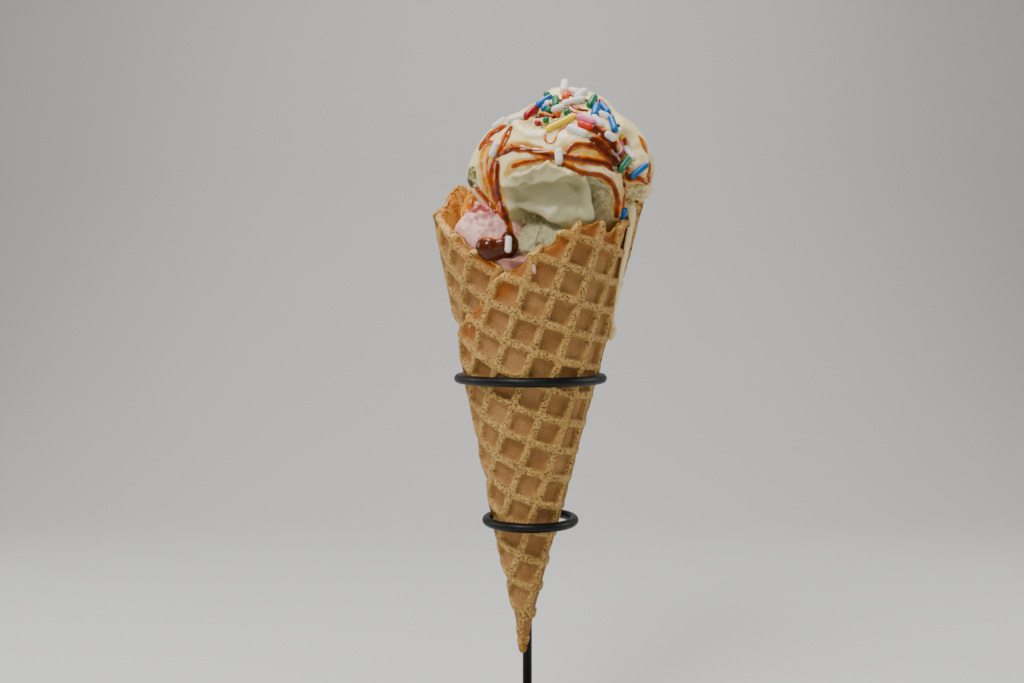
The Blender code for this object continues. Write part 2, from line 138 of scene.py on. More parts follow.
def seen_at(points):
    """(x, z) in the plane y = 0 where the camera sees each point."""
    scale = -EYE.y / (points[:, 1] - EYE.y)
    eye = np.array((EYE.x, EYE.z))
    return eye + (points[:, (0, 2)] - eye) * scale[:, None]


# ---- meshes ----


def add_piece(name, mesh, replaces=()):
    """Links a mesh as a piece of the object, in metres."""
    made = bpy.data.objects.new(name, mesh)
    bpy.context.scene.collection.objects.link(made)
    mesh.shade_smooth()
    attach(made, "root")
    if replaces:
        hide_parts(*replaces)
    return made


def make_mesh(name, points, faces, **attributes):
    """A mesh from millimetre points, with one float attribute on its vertices for each keyword."""
    mesh = bpy.data.meshes.new(name)
    mesh.from_pydata((np.asarray(points) * MM).tolist(), [], faces)
    for key, values in attributes.items():
        mesh.attributes.new(key, "FLOAT", "POINT").data.foreach_set("value", np.asarray(values, np.float32))
    mesh.update()
    return mesh


def remeshed(name, form, voxel, smoothing):
    """Melts the bmesh's overlapping shapes (in mm) into one skin."""
    rough = bpy.data.meshes.new(name)
    bmesh.ops.scale(form, vec=(MM,) * 3, verts=form.verts)
    form.to_mesh(rough)
    form.free()
    helper = bpy.data.objects.new(name, rough)
    bpy.context.scene.collection.objects.link(helper)
    remesh = helper.modifiers.new("melt", "REMESH")
    remesh.mode, remesh.voxel_size = "VOXEL", voxel * MM
    soften = helper.modifiers.new("soften", "SMOOTH")
    soften.factor, soften.iterations = 0.5, smoothing
    bpy.context.view_layer.update()
    mesh = bpy.data.meshes.new_from_object(helper.evaluated_get(bpy.context.evaluated_depsgraph_get()))
    bpy.data.objects.remove(helper)
    mesh.name = name
    return mesh


def tree_of(*meshes):
    """One BVH tree, in mm, of several meshes."""
    points, faces = [], []
    for mesh in meshes:
        first = len(points)
        points += [v.co / MM for v in mesh.vertices]
        faces += [[first + i for i in f.vertices] for f in mesh.polygons]
    return BVHTree.FromPolygons(points, faces)


# ---- materials ----


class Nodes:
    """Short ways to build a Principled material's node tree."""

    def __init__(self, name, **settings):
        self.material = bpy.data.materials.new(name)
        self.material.use_nodes = True
        self.tree = self.material.node_tree
        self.shader = self.tree.nodes["Principled BSDF"]
        for key, value in settings.items():
            self.shader.inputs[key.replace("_", " ")].default_value = value
        self.place = self.add("ShaderNodeTexCoord").outputs["Object"]

    def add(self, kind, **settings):
        node = self.tree.nodes.new(kind)
        for key, value in settings.items():
            setattr(node, key, value)
        return node

    def put(self, socket, value):
        if isinstance(value, bpy.types.NodeSocket):
            self.tree.links.new(value, socket)
        else:
            socket.default_value = value

    def attribute(self, name):
        return self.add("ShaderNodeAttribute", attribute_name=name).outputs["Fac"]

    def noise(self, size, detail=3.0, roughness=0.55):
        """Noise with lumps of about size mm."""
        node = self.add("ShaderNodeTexNoise")
        self.put(node.inputs["Vector"], self.place)
        node.inputs["Scale"].default_value = 1 / (size * MM)
        node.inputs["Detail"].default_value = detail
        node.inputs["Roughness"].default_value = roughness
        return node.outputs["Fac"]

    def pits(self, size):
        """Distance to scattered points about size mm apart: 0 in each pit."""
        node = self.add("ShaderNodeTexVoronoi")
        self.put(node.inputs["Vector"], self.place)
        node.inputs["Scale"].default_value = 1 / (size * MM)
        return node.outputs["Distance"]

    def ramp(self, value, low, high, out_low=0.0, out_high=1.0):
        node = self.add("ShaderNodeMapRange", interpolation_type="SMOOTHSTEP")
        self.put(node.inputs["Value"], value)
        for socket, number in zip(node.inputs[1:5], (low, high, out_low, out_high)):
            socket.default_value = number
        return node.outputs["Result"]

    def math(self, operation, *values):
        node = self.add("ShaderNodeMath", operation=operation)
        for socket, value in zip(node.inputs, values):
            self.put(socket, value)
        return node.outputs["Value"]

    def mix(self, share, first, second):
        node = self.add("ShaderNodeMix", data_type="RGBA")
        self.put(node.inputs["Factor"], share)
        for socket, value in zip((node.inputs[6], node.inputs[7]), (first, second)):
            self.put(socket, value if isinstance(value, bpy.types.NodeSocket) else (*value, 1.0))
        return node.outputs[2]

    def finish(self, colour, roughness=None, height=None, depth=0.3):
        """Connects colour, roughness, and height as a bump of about depth mm."""
        self.put(self.shader.inputs["Base Color"], colour)
        if roughness is not None:
            self.put(self.shader.inputs["Roughness"], roughness)
        if height is not None:
            bump = self.add("ShaderNodeBump")
            self.put(bump.inputs["Height"], height)
            bump.inputs["Distance"].default_value = depth * MM
            self.put(self.shader.inputs["Normal"], bump.outputs["Normal"])
        return self.material


def srgb(red, green, blue):
    """0-255 display values to the shader's linear colour."""
    return tuple(c / 12.92 / 255 if c < 10 else ((c / 255 + 0.055) / 1.055) ** 2.4 for c in (red, green, blue))


def waffle_material():
    n = Nodes("baked_waffle", Specular_IOR_Level=0.3)
    pocket, edge, inner = n.attribute("pocket"), n.attribute("edge"), n.attribute("inner")
    broad, patch, fine = n.noise(9.0), n.noise(2.6, 4.0), n.noise(0.7, 5.0, 0.65)
    ridge = n.mix(n.ramp(fine, 0.35, 0.65), srgb(178, 132, 62), srgb(220, 180, 104))
    ridge = n.mix(n.ramp(patch, 0.45, 0.75, 0.0, 0.6), ridge, srgb(176, 122, 56))
    floor = n.mix(n.ramp(broad, 0.3, 0.7), srgb(154, 106, 54), srgb(184, 136, 80))
    floor = n.mix(n.ramp(fine, 0.4, 0.7, 0.0, 0.35), floor, srgb(128, 82, 38))
    toasted = n.math("MULTIPLY", n.ramp(edge, 0.08, 0.6), n.ramp(broad, 0.3, 0.6, 0.35, 1.0))
    floor = n.mix(toasted, floor, srgb(166, 92, 26))
    ridge = n.mix(n.math("MULTIPLY", toasted, 0.35), ridge, srgb(206, 136, 52))
    colour = n.mix(pocket, ridge, floor)
    rim = n.mix(n.ramp(patch, 0.4, 0.65), srgb(228, 190, 108), srgb(204, 142, 62))
    colour = n.mix(n.ramp(edge, 0.78, 0.95), colour, rim)
    inside = n.mix(n.ramp(n.noise(5.0), 0.38, 0.62), srgb(206, 116, 24), srgb(236, 176, 76))
    colour = n.mix(inner, colour, inside)
    raised = n.math("SUBTRACT", 1.0, n.math("MULTIPLY", pocket, 0.93))
    # Painted shade: dark brown in the pits sunk into the ridges
    large = n.math("MULTIPLY", n.ramp(n.pits(1.1), 0.34, 0.2), n.ramp(n.noise(2.2), 0.47, 0.54))
    small = n.math("MULTIPLY", n.ramp(n.pits(0.6), 0.4, 0.24), n.ramp(n.noise(1.5), 0.42, 0.5, 0.0, 0.8))
    hole = n.math("MULTIPLY", n.math("MAXIMUM", large, small), raised)
    colour = n.mix(n.math("MULTIPLY", hole, 0.8), colour, srgb(84, 50, 18))
    height = n.math("SUBTRACT", n.math("MULTIPLY", fine, 0.7), n.math("MULTIPLY", hole, 1.3))
    return n.finish(colour, n.ramp(fine, 0.3, 0.8, 0.55, 0.85), height, 0.45)


def ice_material(name, cream, scraped, pore_shade, extra_line, extra_share):
    """Ice cream: slow colour changes, a duller colour that is partly scraped cream and partly painted shade, painted
    shade in its pores, and an extra colour by attribute.
    """
    n = Nodes(name, Subsurface_Weight=0.2, Subsurface_Scale=0.0015, Coat_Weight=0.12, Coat_Roughness=0.25)
    n.shader.inputs["Subsurface Radius"].default_value = (1.0, 0.6, 0.35)
    rough, fine, broad = n.attribute("rough"), n.noise(0.7, 4.0, 0.6), n.noise(9.0)
    colour = n.mix(n.ramp(broad, 0.3, 0.7), cream[0], cream[1])
    # Duller colour, partly scraped cream and partly painted shade
    colour = n.mix(n.attribute("scraped"), colour, scraped)
    # Painted shade: darker colour in the pores of the torn areas and caves
    pores = n.math("MULTIPLY", rough, n.ramp(n.noise(1.5, 4.0), 0.4, 0.6))
    colour = n.mix(n.math("MULTIPLY", pores, 0.7), colour, pore_shade)
    colour = n.mix(n.math("MULTIPLY", n.attribute("extra"), extra_share), colour, extra_line)
    height = n.math("MULTIPLY", fine, n.math("ADD", n.math("MULTIPLY", rough, 1.0), 0.12))
    return n.finish(colour, n.ramp(rough, 0.0, 1.0, 0.38, 0.6), height, 0.45)


def caramel_material():
    n = Nodes("caramel", Coat_Weight=0.16, Coat_Roughness=0.05, Specular_IOR_Level=0.25)
    tone = n.attribute("tone")
    uneven = n.math("ADD", tone, n.ramp(n.noise(2.5), 0.3, 0.7, -0.1, 0.1))
    amber = n.mix(n.ramp(uneven, 0.0, 0.3), srgb(214, 136, 8), srgb(172, 68, 2))
    colour = n.mix(n.ramp(uneven, 0.25, 0.95), amber, srgb(82, 30, 8))
    return n.finish(colour, n.ramp(n.noise(2.0), 0.3, 0.7, 0.14, 0.24))


def sugar_material(name, colour):
    n = Nodes("sugar_" + name, Coat_Weight=0.1, Coat_Roughness=0.3, Specular_IOR_Level=0.35)
    fine = n.noise(0.5, 3.0)
    shade = tuple(c * 0.82 for c in colour)
    return n.finish(n.mix(n.ramp(fine, 0.35, 0.65), shade, colour), n.ramp(fine, 0.3, 0.7, 0.3, 0.45), fine, 0.06)


def coat_material():
    n = Nodes("black_coated_wire", Specular_IOR_Level=0.3)
    fine = n.noise(0.8, 3.0)
    colour = n.mix(n.ramp(n.noise(12.0), 0.3, 0.7), srgb(4, 4, 5), srgb(8, 8, 9))
    return n.finish(colour, n.ramp(fine, 0.3, 0.7, 0.4, 0.5), fine, 0.02)


def plain_material(name, colour, roughness):
    n = Nodes(name)
    shade = tuple(c * 0.97 for c in colour)
    return n.finish(n.mix(n.ramp(n.noise(300.0), 0.3, 0.7), shade, colour), n.ramp(n.noise(50.0), 0, 1, roughness, roughness))


# ---- the waffle ----

RIM_TURNS = np.arange(OUTER_END, INNER_END + 0.5, 0.5)


def rim_curve():
    """Distance from the apex to the sheet's edge at each of RIM_TURNS."""
    turns, reach = np.array(RIM, float).T
    slope = np.gradient(reach, turns)
    slope[1:-1] = (reach[2:] - reach[:-2]) / (turns[2:] - turns[:-2])
    i = np.clip(np.searchsorted(turns, RIM_TURNS, side="right") - 1, 0, len(turns) - 2)
    width = turns[i + 1] - turns[i]
    x = (RIM_TURNS - turns[i]) / width
    rise = reach[i] * (1 + 2 * x) * (1 - x) ** 2 + reach[i + 1] * x * x * (3 - 2 * x)
    return rise + width * (slope[i] * x * (1 - x) ** 2 - slope[i + 1] * x * x * (1 - x))


RIM_REACH = rim_curve()


def rim_at(turn):
    return np.interp(turn, RIM_TURNS, RIM_REACH)


def to_grid(flat):
    c, s = math.cos(GRID_TURN), math.sin(GRID_TURN)
    return np.stack((flat[..., 0] * c - flat[..., 1] * s, flat[..., 0] * s + flat[..., 1] * c), axis=-1)


def from_grid(grid):
    c, s = math.cos(GRID_TURN), math.sin(GRID_TURN)
    return np.stack((grid[..., 0] * c + grid[..., 1] * s, -grid[..., 0] * s + grid[..., 1] * c), axis=-1)


def on_cone(turn, s, out):
    """Rolled places: turn in degrees, distance from the apex, and out along the cone's normal."""
    angle = np.radians(turn)
    sine, cosine = math.sin(HALF_ANGLE), math.cos(HALF_ANGLE)
    radius, height = s * sine + out * cosine, s * cosine - out * sine
    x, y = radius * np.sin(angle), -radius * np.cos(angle)
    lean_c, lean_s = math.cos(LEAN), math.sin(LEAN)
    return APEX + np.stack((x * lean_c + height * lean_s, y, height * lean_c - x * lean_s), axis=-1)


def layer_out(turn, s, depth):
    """How far out from the cone's middle surface a place at that depth in the sheet lies (0 is the ridge tops)."""
    start = np.maximum(FLARE_FROM, rim_at(turn - 360))
    flare = FLARE * smooth_step(turn - OUTER_END - 360, 0, FLARE_TURN) * smooth_step(s - start, 0, FLARE_RISE)
    return (flare - (SHEET_THICKNESS + LAYER_GAP) * turn / 360 - depth) * np.minimum(1, s / TAPER_S)


def sheet_grid():
    """A grid that follows the pockets, finest on their walls: (grid coordinates, pocket share, ridge crown)."""
    corners = np.radians((OUTER_END, 0, INNER_END)) * math.sin(HALF_ANGLE)
    reach = max(r for _, r in RIM) + GRID_PITCH
    arc = np.linspace(corners[0], corners[-1], 60)
    edge = to_grid(np.vstack((np.stack((reach * np.sin(arc), reach * np.cos(arc)), axis=1), [(0, 0)])))
    lines, offsets = [], []
    for axis in (0, 1):
        first = math.floor((edge[:, axis].min() - GRID_SHIFT[axis]) / GRID_PITCH)
        last = math.ceil((edge[:, axis].max() - GRID_SHIFT[axis]) / GRID_PITCH)
        cells = np.arange(first, last)
        lines.append((GRID_SHIFT[axis] + cells[:, None] * GRID_PITCH + CELL_STEPS).ravel())
        offsets.append(np.tile(CELL_STEPS, len(cells)))
    grid = np.stack(np.meshgrid(lines[0], lines[1]), axis=-1)
    inside = np.stack(np.meshgrid(offsets[0], offsets[1]), axis=-1)
    from_middle = np.abs(inside - GRID_PITCH / 2)
    over = np.maximum(from_middle - (POCKET_HALF - POCKET_CORNER), 0)
    box = np.hypot(over[..., 0], over[..., 1]) - POCKET_CORNER
    pocket = 1 - smooth_step(box, -POCKET_WALL, POCKET_WALL)
    ridge_line = np.minimum(GRID_PITCH / 2 - from_middle[..., 0], GRID_PITCH / 2 - from_middle[..., 1])
    return grid, pocket, 1 - np.clip(ridge_line / 1.3, 0, 1) ** 2


def inside_rim(flat, share):
    """Distance inwards from the sheet's lobed edge, negative outside."""
    s = np.hypot(flat[..., 0], flat[..., 1])
    bend = math.sin(HALF_ANGLE)
    turn = np.degrees(np.arctan2(flat[..., 0], flat[..., 1])) / bend
    nub = np.where(turn > 200, INNER_NUB, NUB) * np.minimum(1, s / TAPER_S) * (2 * share - 1)
    points = np.stack((flat[..., 0], flat[..., 1], 0 * s), axis=-1).reshape(-1, 3)
    ragged = (0.4 * lumps(points, 3.0, 1) + 0.2 * lumps(points, 1.3, 2)).reshape(s.shape)
    sides = np.minimum(turn - OUTER_END, INNER_END - turn) * np.radians(bend) * s
    return np.minimum.reduce((rim_at(turn) + nub + ragged - s, s - TIP_S, sides)), turn, s


def snap_to_edge(flat, inside):
    """Moves grid places near the sheet's edge onto it, along grid lines. Returns places and their state."""
    moved, best, state = flat.copy(), np.full(inside.shape, 0.5), np.sign(inside)
    for axis, step in itertools.product((0, 1), (1, -1)):
        beyond, beyond_place = np.roll(inside, step, axis), np.roll(flat, step, axis)
        crossing = np.where(inside * beyond < 0, inside / np.where(inside == beyond, 1, inside - beyond), 1)
        nearer = crossing <= best
        best = np.where(nearer, crossing, best)
        moved = np.where(nearer[..., None], flat + crossing[..., None] * (beyond_place - flat), moved)
        state = np.where(nearer, 0, state)
    return moved, state


def build_waffle():
    grid, pocket, crown = sheet_grid()
    flat = from_grid(grid)
    points = np.concatenate((flat, np.zeros((*flat.shape[:2], 1))), axis=2).reshape(-1, 3)
    shape = flat.shape[:2]
    for axis in (0, 1):
        flat[..., axis] += 0.35 * lumps(points, 13.0, 3 + axis).reshape(shape)
    middles = (to_grid(flat) - GRID_SHIFT) / GRID_PITCH
    share = np.max(0.5 + 0.5 * np.cos(2 * np.pi * middles), axis=-1) ** 2
    inside, _, _ = inside_rim(flat, share)
    flat, state = snap_to_edge(flat, inside)
    s = np.hypot(flat[..., 0], flat[..., 1])
    turn = np.degrees(np.arctan2(flat[..., 0], flat[..., 1])) / math.sin(HALF_ANGLE)
    edge_distance = np.where(state == 0, 0, np.maximum(inside, 0))
    curl = EDGE_ROUND * (1 - np.sqrt(1 - np.clip(1 - edge_distance / EDGE_ROUND, 0, 1) ** 2))
    grain = lumps(points, 1.1, 6).reshape(shape)
    uneven = 0.22 * lumps(points, 4.5, 5).reshape(shape) + (0.22 - 0.14 * pocket) * grain
    top = pocket * POCKET_DEPTH - 0.3 * crown * (1 - pocket) - uneven + curl
    bottom = SHEET_THICKNESS - curl + 0.12 * lumps(points, 3.0, 7).reshape(shape)

    number = np.full(shape, -1)
    faces = []
    for r, c in zip(*np.nonzero(np.ones((shape[0] - 1, shape[1] - 1)))):
        corners = ((r, c), (r, c + 1), (r + 1, c + 1), (r + 1, c))
        kept = [k for k in corners if state[k] >= 0]
        if len(kept) >= 3 and any(state[k] > 0 for k in kept):
            faces.append(kept)
    count = 0
    for face in faces:
        for k in face:
            if number[k] < 0:
                number[k] = count
                count += 1
    used = number >= 0
    order = np.argsort(number[used])

    def picked(values):
        return values[used][order]

    outer = on_cone(picked(turn), picked(s), layer_out(picked(turn), picked(s), picked(top)))
    inner = on_cone(picked(turn), picked(s), layer_out(picked(turn), picked(s), picked(bottom)))
    outer_faces = [[int(number[k]) for k in face] for face in faces]
    inner_faces = [[i + count for i in reversed(face)] for face in outer_faces]
    sides = {}
    for face in outer_faces:
        for a, b in zip(face, face[1:] + face[:1]):
            if sides.pop((b, a), None) is None:
                sides[(a, b)] = True
    rim_faces = [[b, a, a + count, b + count] for a, b in sides]
    near_edge = np.exp(-picked(edge_distance) / 6)
    zero = np.zeros(count)
    return make_mesh(
        "waffle_cone_baked",
        np.vstack((outer, inner)),
        outer_faces + inner_faces + rim_faces,
        pocket=np.concatenate((picked(pocket), zero)),
        edge=np.concatenate((near_edge, near_edge)),
        inner=np.concatenate((zero, zero + 1)),
    )


def build_tip():
    """The pressed, slightly broken tip that closes the roll."""
    form = bmesh.new()
    bmesh.ops.create_icosphere(form, subdivisions=5, radius=1.0)
    directions = np.array([v.co for v in form.verts])
    faces = [[v.index for v in f.verts] for f in form.faces]
    form.free()
    points = directions * (1.5, 1.5, 3.4)
    points[:, :2] *= (1 + 0.25 * points[:, 2:] / 3.4) * (1 + 0.12 * lumps(points, 1.2, 4)[:, None])
    points += (-2.95, 0.1, 43.2)
    n = len(points)
    return make_mesh("waffle_tip", points, faces, pocket=np.zeros(n), edge=np.full(n, 0.6), inner=np.zeros(n))


# ---- ice cream ----


def wall_radius(turn, s, margin):
    """Free radius inside the innermost layer of waffle, or infinite above its rim."""
    free = np.full(len(s), np.inf)
    for extra in (-360, 0, 360):
        layer = turn + extra
        near = np.max([rim_at(layer + step) for step in (-6, 0, 6)], axis=0)
        there = (layer >= OUTER_END) & (layer <= INNER_END + 12) & (s < near + margin)
        wall = s * math.sin(HALF_ANGLE) + layer_out(layer, s, SHEET_THICKNESS) / math.cos(HALF_ANGLE)
        wall += OVERHANG * smooth_step(s, near, near + margin) - WALL_CLEARANCE
        free = np.where(there, np.minimum(free, wall), free)
    return free


def press_inside(points, margin=RIM_MARGIN):
    """Presses what reaches into the waffle back to its inner face."""
    lean_c, lean_s = math.cos(LEAN), math.sin(LEAN)
    local = points - APEX
    x, y = local[:, 0] * lean_c - local[:, 2] * lean_s, local[:, 1]
    height = local[:, 0] * lean_s + local[:, 2] * lean_c
    turn, radius = np.degrees(np.arctan2(x, -y)), np.hypot(x, y)
    free = wall_radius(turn, height / math.cos(HALF_ANGLE), margin)
    shrink = np.where(radius > free, free / np.maximum(radius, 1e-6), 1)
    x, y = x * shrink, y * shrink
    return APEX + np.stack((x * lean_c + height * lean_s, y, height * lean_c - x * lean_s), axis=1)


def ellipsoid_reach(start, directions, centre, radii):
    """How far from start, along each direction, the far side of an ellipsoid is, or 0 where it is missed."""
    p, d = (start - centre) / radii, directions / radii
    b, c, dd = d @ p, p @ p - 1, (d * d).sum(axis=1)
    root = b * b - dd * c
    return np.where(root > 0, (np.sqrt(np.maximum(root, 0)) - b) / dd, 0)


def ball_directions(subdivisions):
    """Directions and faces of an icosphere, closest together at the front."""
    form = bmesh.new()
    bmesh.ops.create_icosphere(form, subdivisions=subdivisions, radius=1.0)
    directions = np.array([v.co.normalized() for v in form.verts])
    faces = [[v.index for v in f.verts] for f in form.faces]
    form.free()
    directions[:, 1] -= BALL_PULL
    return directions / np.linalg.norm(directions, axis=1)[:, None], faces


# Soft ridges and grooves on the vanilla's front: (height, width, line)
VANILLA_STROKES = (
    (0.9, 1.3, ((-9.2, 190.6), (-6.5, 189.8), (-2.8, 189.2), (1.4, 188.2), (5.7, 187.2), (9.4, 188.6), (17, 187.6))),
    (1.4, 2.8, ((7, 185.3), (12, 184.5), (17, 185), (20, 187.5))),
    (-6.5, 1.4, ((-4.3, 186.6), (-2.3, 185.3), (1, 184.6), (4, 183.6), (8, 182.4))),
    (2.2, 1.9, ((-8, 188), (-6.5, 184.5), (-5.2, 181.5))),
    (-3.0, 1.7, ((15.0, 197.4), (16.2, 195.8))),
    (-5.5, 1.6, ((31.6, 206), (33, 200.5), (33.4, 194.5), (33.8, 189))),
    (1.1, 1.8, ((29.6, 217.2), (33.0, 214.6), (36.2, 210.4), (38.0, 205), (38.0, 200.9))),
    (-4.6, 1.8, ((32, 212.4), (34.2, 209), (34, 206))),
    (1.5, 1.9, ((22, 200.5), (26, 200), (29.3, 195.5), (30, 190), (29.3, 186))),
    (0.9, 1.3, ((-6, 218), (-3.4, 214.8), (-1, 213.3), (3.6, 213.4))),
    (-0.7, 1.0, ((-3, 218), (0, 215.4), (4, 215.6))),
    (0.8, 2.2, ((10, 211.5), (15, 212), (19, 210.8))),
    (-0.8, 0.7, ((-12, 206), (-8.7, 208.2), (-3, 209.5), (3, 208.6))),
)  # fmt: skip
# Edges where one fold lies over another: (height above the line, depth below it, widths of both, line)
VANILLA_FOLDS = (
    (2.2, 2.6, 1.8, 6.0, ((-10, 194.4), (-7.6, 196.2), (-4.5, 196.5), (-2, 197.9), (0.6, 197.3), (4, 198.3),
                          (7.5, 197.9), (10, 199.2), (12.5, 200.3), (15, 200.4))),
    (-0.9, -1.9, 1.0, 1.4, ((-7.2, 198.4), (-5.4, 200.4), (-3, 200.6), (-0.6, 201.4), (1.2, 202.8), (3, 202.6),
                            (4.6, 204), (5.9, 205), (7, 203.6), (9.6, 202.9), (12.6, 201.9), (17, 199.8))),
    (1.2, 2.2, 3.0, 2.2, ((12.5, 182.6), (16, 183), (18.6, 184.6), (20.4, 187.4), (20.9, 191), (20.4, 195),
                          (19, 198.4), (17.5, 200.6))),
    (1.4, 1.9, 1.8, 2.5, ((31.5, 199.2), (33.5, 197.8), (36, 197.4), (39.5, 195.8))),
)  # fmt: skip
# Hollows scraped or torn into it: (x, z, x radius, z radius, depth)
VANILLA_HOLLOWS = ((6.0, 193.3, 15.5, 6.0, 2.4), (24.4, 192.5, 3.4, 8.0, 1.3), (5.0, 219.0, 8.0, 3.5, 0.7),
                   (33.2, 208.5, 1.8, 4.2, 1.8))
# Where it is torn and porous rather than smooth: (x, z, x radius, z radius)
VANILLA_TORN = (
    (24.4, 193, 3.8, 8), (1.5, 176, 11, 7.5), (36.5, 192.5, 3.5, 4), (5, 219, 8, 3.5), (0, 183.8, 5, 1.8),
    (33.2, 208.5, 1.8, 4.2),
)  # fmt: skip
# Where it is duller, partly scraped cream and partly painted shade on the front face under the lip and on the low band:
# (x, z, x radius, z radius)
VANILLA_SCRAPED_AND_SHADED = ((6, 192.5, 17, 10), (19, 191, 7, 9), (2, 178, 14, 8))
# Caramel stains: (half width, line)
VANILLA_STAINS = (
    (0.45, ((4.9, 213.8), (4.5, 212), (5.7, 210.3), (7.7, 210.3), (8.4, 212.2), (8.8, 213.8), (11, 215.4))),
    (1.3, ((-14.5, 209.5), (-15.8, 206), (-16, 201.7), (-15, 197.7), (-14, 193))),
    (1.8, ((-12.2, 207), (-12.4, 202), (-12.2, 197), (-11, 192), (-9.2, 188), (-7.6, 183))),
    (1.3, ((-10.5, 207.4), (-5, 209.7), (-1, 209.4), (4.6, 207.6), (16, 206), (25, 204.2))),
    (0.9, ((-8, 200.5), (-6.5, 202.8), (-3.9, 204.2), (4, 205.4))),
    (1.6, ((12, 207.5), (16, 208.4), (22, 207.4), (27, 206))),
    (1.5, ((31.5, 204), (33.8, 207.5), (33, 211))),
    (1.0, ((31, 200), (34, 199.4), (38, 198.2), (39.4, 200))),
    (1.4, ((16, 219), (20, 214.8), (26, 213), (28, 208))),
    (0.8, ((28.6, 201), (29.8, 196), (29.8, 190))),
)  # fmt: skip
BALL_PULL = 0.3  # how much of a ball's vertices are drawn to its front


def zone(places, x, z, x_radius, z_radius, soft=0.35):
    """1 inside an ellipse in the seen plane, falling to 0 across its soft edge."""
    return 1 - smooth_step(np.hypot((places[:, 0] - x) / x_radius, (places[:, 1] - z) / z_radius), 1 - soft, 1 + soft)


def fold_height(places, above, below, width_above, width_below, line):
    """Height of a fold's edge: raised on the line's left-hand side, and sunk on its right."""
    line = smooth_line(line, 0.8)
    best, side, share = np.full(len(places), 1e9), np.zeros(len(places)), np.zeros(len(places))
    for k, (start, end) in enumerate(zip(line, line[1:])):
        along = end - start
        t = np.clip((places - start) @ along / (along @ along), 0, 1)
        gap = places - start - t[:, None] * along
        distance = np.linalg.norm(gap, axis=1)
        nearer = distance < best
        best = np.where(nearer, distance, best)
        side = np.where(nearer, np.sign(along[0] * gap[:, 1] - along[1] * gap[:, 0]), side)
        share = np.where(nearer, (k + t) / (len(line) - 1), share)
    d = best * side
    over = smooth_step(d, -0.35, 0.35)
    height = over * above * np.exp(-((d / width_above) ** 2)) - (1 - over) * below * np.exp(-((d / width_below) ** 2))
    return height * smooth_step(share, 0, 0.1) * (1 - smooth_step(share, 0.9, 1))


def scoop_reach(directions):
    """Reach of the vanilla ball: between its left and right profiles above, and an ellipsoid below."""
    profile = smooth_line(SCOOP_PROFILE, 1.0)
    elevation = np.degrees(np.arcsin(np.clip(directions[:, 2], -1, 1)))
    level = np.maximum(np.hypot(directions[:, 0], directions[:, 1]), 1e-6)
    left, right = (np.interp(elevation, profile[:, 0], profile[:, k]) for k in (1, 2))
    depth = 1 - (1 - SCOOP_DEPTH) * (directions[:, 1] / level) ** 2 * (1 - elevation / 90)
    upper = (left + (right - left) * (0.5 + 0.5 * directions[:, 0] / level)) * depth
    lower = 1 / np.linalg.norm(directions / VANILLA_LOW_RADII, axis=1)
    share = smooth_step(elevation, -4, 4)
    return upper * share + lower * (1 - share)


def build_vanilla():
    directions, faces = ball_directions(7)
    reach = scoop_reach(directions) + 0.5 * lumps(directions * 30, 11.0, 8)
    neck = ellipsoid_reach(VANILLA_CENTRE, directions, NECK_CENTRE, NECK_RADII)
    reach = np.maximum(reach, neck)
    points = VANILLA_CENTRE + directions * reach[:, None]
    places = seen_at(points)
    places = places + 0.35 * np.column_stack((lumps(points, 3.2, 21), lumps(points, 3.2, 22)))
    front = smooth_step(-directions[:, 1], 0.0, 0.2)
    reach += (1 - front) * (0.7 * lumps(points * (1, 1, 1.7), 7.0, 25) - 0.6 * np.abs(lumps(points, 4.0, 26)))
    sag = np.zeros(len(directions))
    shape = np.zeros(len(directions))
    for height, width, line in VANILLA_STROKES:
        share = front * np.exp(-((line_distance(places, line) / width) ** 2))
        shape += height * share
        sag += max(height, 0) * share
    for fold in VANILLA_FOLDS:
        height = front * fold_height(places, *fold)
        shape += height
        sag += np.maximum(height, 0)
    for x, z, x_radius, z_radius, depth in VANILLA_HOLLOWS:
        shape -= front * depth * zone(places, x, z, x_radius, z_radius)
    torn = np.clip(sum(zone(places, *z) for z in VANILLA_TORN), 0, 1) * front
    reach += shape
    points = VANILLA_CENTRE + directions * reach[:, None]
    crumbs = 1.6 * lumps(points, 2.8, 9) + 1.0 * lumps(points, 1.3, 10) - 1.8 * np.abs(lumps(points, 1.8, 11))
    swirl = 0.3 * lumps(points * (0.5, 1, 1.6), 4.5, 12) + 0.1 * lumps(points, 1.4, 13)
    points = points + directions * (torn * crumbs + (1 - torn) * swirl)[:, None]
    points[:, 2] -= 0.4 * sag
    stain = np.zeros(len(points))
    for width, line in VANILLA_STAINS:
        distance = line_distance(places, line) + 0.5 * lumps(points, 2.5, 18)
        stain = np.maximum(stain, front * (1 - smooth_step(distance, width - 0.4, width + 0.9)))
    # Duller cream on the front face and low band: partly scraped, partly painted shade
    scraped = np.clip(sum(zone(places, *z) for z in VANILLA_SCRAPED_AND_SHADED), 0, 1) * front
    points = press_inside(points)
    return make_mesh("vanilla_ice_cream", points, faces, rough=torn, extra=stain, scraped=scraped)


# Streaks of fruit in the strawberry: (strength, half width, line)
FRUIT = (
    (1.0, 0.9, ((-19, 188.4), (-16.9, 189.2), (-14.2, 188.2))), (0.6, 0.5, ((-17.8, 185.8), (-15.6, 186.8), (-12, 187))),
    (0.4, 0.4, ((-15, 182.8), (-12.8, 183.4))), (0.4, 0.4, ((-14.6, 181.2), (-12, 181.8))),
)  # fmt: skip


